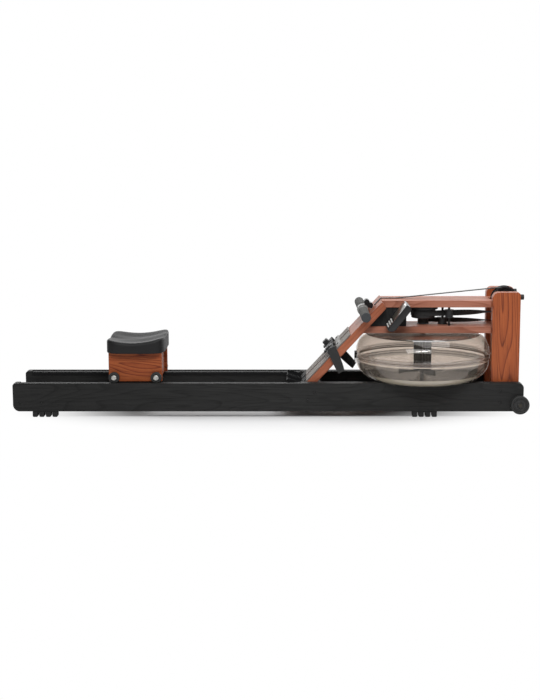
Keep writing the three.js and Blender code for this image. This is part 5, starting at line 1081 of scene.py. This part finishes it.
# Seat: a box of the same stained wood on four rubber wheels, with bright axle heads.
SEAT_STAIN = [
    (0.0, (0.071, 0.0151, 0.0067)),
    (0.3, (0.1915, 0.0382, 0.0134)),
    (0.62, (0.287, 0.0666, 0.0209)),
    (1.0, (0.403, 0.111, 0.0335)),
]
seat_wood = hardwood(
    "seat_wood",
    SEAT_STAIN,
    PORE,
    turn=(0, math.radians(-6), 0),
    shift=(0.15, 0.2, 0.42),
    rings=12.0,
    gloss=0.42,
    shine=0.2,
    figure=0.6,
)
planed("seat_box", "seat", seat_wood, "stained_wood", 0.002)
bright_bolts = metal("zinc_plated_bolts", (0.62, 0.61, 0.58), 0.42)
SEAT_WHEEL_RADIUS = 0.0224
SEAT_AXLE_Z = 0.1597
seat_tread = [(AXLE_BORE, 0.13), (SEAT_WHEEL_RADIUS, 0.13), (SEAT_WHEEL_RADIUS, 0.146)]
seat_tread += [(0.0135, 0.146), (0.0125, 0.1448), (AXLE_BORE, 0.1448)]
axle_head = [(0, 0.148), (0.0045, 0.148), (0.0045, 0.1504), (0.009, 0.1504)]
axle_head += [(0.011, 0.1488), (0.011, 0.1464), (0.005, 0.1464)]
for end, x in (("rear", -0.6375), ("front", -0.4665)):
    axle_at = (x, 0.0, SEAT_AXLE_Z)
    for hand, side in HANDS:
        mesh = turned(ring_profile(seat_tread, 0.0026, 5), axle_at, (0, side, 0), 64)
        name = f"{end}_{hand}"
        set_on(mesh, name + "_seat_tread", wheel_rubber, name + "_wheel", "rubber", name + "_seat_wheel")
    mesh = turned(rounded(mirrored(axle_head), 0.0005, 2), axle_at, ACROSS, 48)
    set_on(mesh, end + "_seat_axle_turned", bright_bolts, "seat", "steel", end + "_seat_axle")

# Seat pad: a block of moulded black foam with a soft skin, saddle-shaped, with two shallow hollows
# for the sit bones and a side that draws in towards its base.
PAD_AT = np.array([-0.552, 0.0, 0.2593])
PAD_HALF = np.array([0.119, 0.154])
PAD_ROUND = 0.012
PAD_FOOT = 0.003


def pad_top(x, y):
    """Height over the base: 43 + 20 u^2 + 4 u mm with u = x / half length, less two hollows of
    7 exp(-((y -+ 64) / 46)^2 - (x / 236)^2) mm for the sit bones and a channel in the rear half,
    12 ((1 - u) / 2)^2 exp(-(y / 38)^2) mm, for the tail bone."""
    u = x / PAD_HALF[0]
    hollows = np.exp(-(((y - 0.064) / 0.046) ** 2)) + np.exp(-(((y + 0.064) / 0.046) ** 2))
    channel = 0.012 * ((1 - u) / 2) ** 2 * np.exp(-((y / 0.038) ** 2))
    return 0.043 + 0.02 * u**2 + 0.004 * u - 0.007 * hollows * np.exp(-((x / 0.236) ** 2)) - channel


def moulded_pad(around=208):
    """Rings of the superellipse |x/a|^5.5 + |y/b|^5.5 = 1: up an upright side with a small round
    at its foot, round the rim along a quarter circle, then inwards over the top."""
    angle = 2 * np.pi * (np.arange(around) + 0.5) / around
    c, s = np.cos(angle), np.sin(angle)
    reach = (np.abs(c) ** 5.5 + np.abs(s) ** 5.5) ** (-1 / 5.5)
    foot = np.linspace(0, np.pi / 2, 5)
    rim = np.linspace(0, np.pi / 2, 13)
    inward = np.linspace(0, 1, 30)[1:, None]
    side_inset = np.concatenate([PAD_FOOT * (1 - np.sin(foot)), PAD_ROUND * (1 - np.cos(rim))])
    top_inset = PAD_ROUND + (PAD_HALF - PAD_ROUND - 2e-4) * inward
    halves = PAD_HALF - np.concatenate([np.repeat(side_inset[:, None], 2, axis=1), top_inset])
    x = halves[:, :1] * (c * reach)[None]
    y = halves[:, 1:] * (s * reach)[None]
    z = pad_top(x, y)
    z[: len(foot)] = (PAD_FOOT * (1 - np.cos(foot)))[:, None]
    z[len(foot) : len(foot) + len(rim)] -= PAD_ROUND * (1 - np.sin(rim))[:, None]
    mesh = capped_rings(np.stack([x, y, z], -1) + PAD_AT)
    face_outwards(mesh, 60)
    return mesh


skin = Finish("pad_skin", {"Specular IOR Level": 0.25})
leather = skin.node("ShaderNodeTexVoronoi", {}, {"Vector": skin.place(), "Scale": 620.0}, "Distance")
broad = skin.noise(skin.place(), 14.0, 3.0)
skin.feed("Base Color", skin.tint(broad, (0.009, 0.009, 0.0095), (0.015, 0.015, 0.0155)))
skin.feed("Roughness", 0.5 + leather * 0.12 + broad * 0.1 - 0.08)
skin.relief(leather, 0.3, 0.0004)
pad = set_on(moulded_pad(), "seat_pad_skin", skin.material, "seat", "pad_foam", "seat_pad")

# The stage: a pale round floor that fades to white away from the machine. Soft lamps hang overhead
# and in front, with a narrow strip for the tank's highlight and a wide one behind. The camera
# stands beside the machine and looks a little down on it.
FLOOR_RADIUS = 14
FLOOR_SIDES = 96
floor_mesh = bpy.data.meshes.new("floor")
ring = np.linspace(0, 2 * np.pi, FLOOR_SIDES, endpoint=False)
rim_points = FLOOR_RADIUS * np.stack([np.cos(ring), np.sin(ring), 0 * ring], 1)
floor_mesh.from_pydata(rim_points.tolist(), [], [list(range(FLOOR_SIDES))])
floor = added("floor", floor_mesh)
floor_look = Finish("floor_paper", {"Roughness": 0.9, "Specular IOR Level": 0.1})
floor_look.feed("Base Color", (0.86, 0.86, 0.865))
oval = floor_look.place(stretch=(0.45, 1, 1))
distance = floor_look.node("ShaderNodeVectorMath", {"operation": "LENGTH"}, {0: oval}, "Value")
white = floor_look.node("ShaderNodeEmission", {}, {"Color": (1, 1, 1), "Strength": 1.0})
seen_directly = floor_look.node("ShaderNodeLightPath", {}, {}, "Is Camera Ray")
fade = floor_look.step(distance, 0.2, 0.5) * seen_directly
floor_look.show(fade, Wire(floor_look, floor_look.shader.outputs[0]), white)
floor_mesh.materials.append(floor_look.material)

world = bpy.data.worlds.new("studio")
world.use_nodes = True
bpy.context.scene.world = world
sky = world.node_tree
back = sky.nodes["Background"]
back.inputs["Color"].default_value = (1, 1, 1, 1)
path_node = sky.nodes.new("ShaderNodeLightPath")
seen = sky.nodes.new("ShaderNodeMath")
seen.operation = "MAXIMUM"
sky.links.new(path_node.outputs["Is Camera Ray"], seen.inputs[0])
sky.links.new(path_node.outputs["Is Transmission Ray"], seen.inputs[1])
strength = sky.nodes.new("ShaderNodeMapRange")
strength.inputs["To Min"].default_value = 0.2
strength.inputs["To Max"].default_value = 1.0
sky.links.new(seen.outputs[0], strength.inputs["Value"])
sky.links.new(strength.outputs["Result"], back.inputs["Strength"])


def softbox(name, at, aim, size, power):
    """A rectangular lamp at one place that points at another."""
    lamp = bpy.data.lights.new(name, "AREA")
    lamp.shape = "RECTANGLE"
    lamp.size, lamp.size_y = size
    lamp.energy = power
    holder = added(name, lamp)
    holder.location = at
    holder.rotation_euler = (Vector(aim) - Vector(at)).to_track_quat("-Z", "Y").to_euler()


softbox("overhead_box", (0.9, 0.3, 3.0), (0.1, 0.0, 0.0), (3.6, 1.8), 52)
softbox("front_box", (-0.1, -3.0, 3.2), (0.0, 0.0, 0.3), (2.8, 1.6), 73)
softbox("strip_box", (0.4, -2.9, 3.1), (0.0, 0.0, 0.3), (1.4, 0.28), 34)
softbox("back_box", (0.0, 4.5, 1.4), (0.0, 0.0, 0.3), (9.0, 2.2), 120)

camera = bpy.data.cameras.new("camera")
camera.sensor_width = 36
camera.lens = 72.3
camera.shift_x = -30 / 700
camera.clip_end = 60
eye = added("camera", camera)
eye.location = (0.1184, -5.76, 1.194)
eye.rotation_euler = (math.radians(90 - 9.3), 0, 0)
bpy.context.scene.camera = eye
bpy.context.scene.view_settings.view_transform = "Standard"
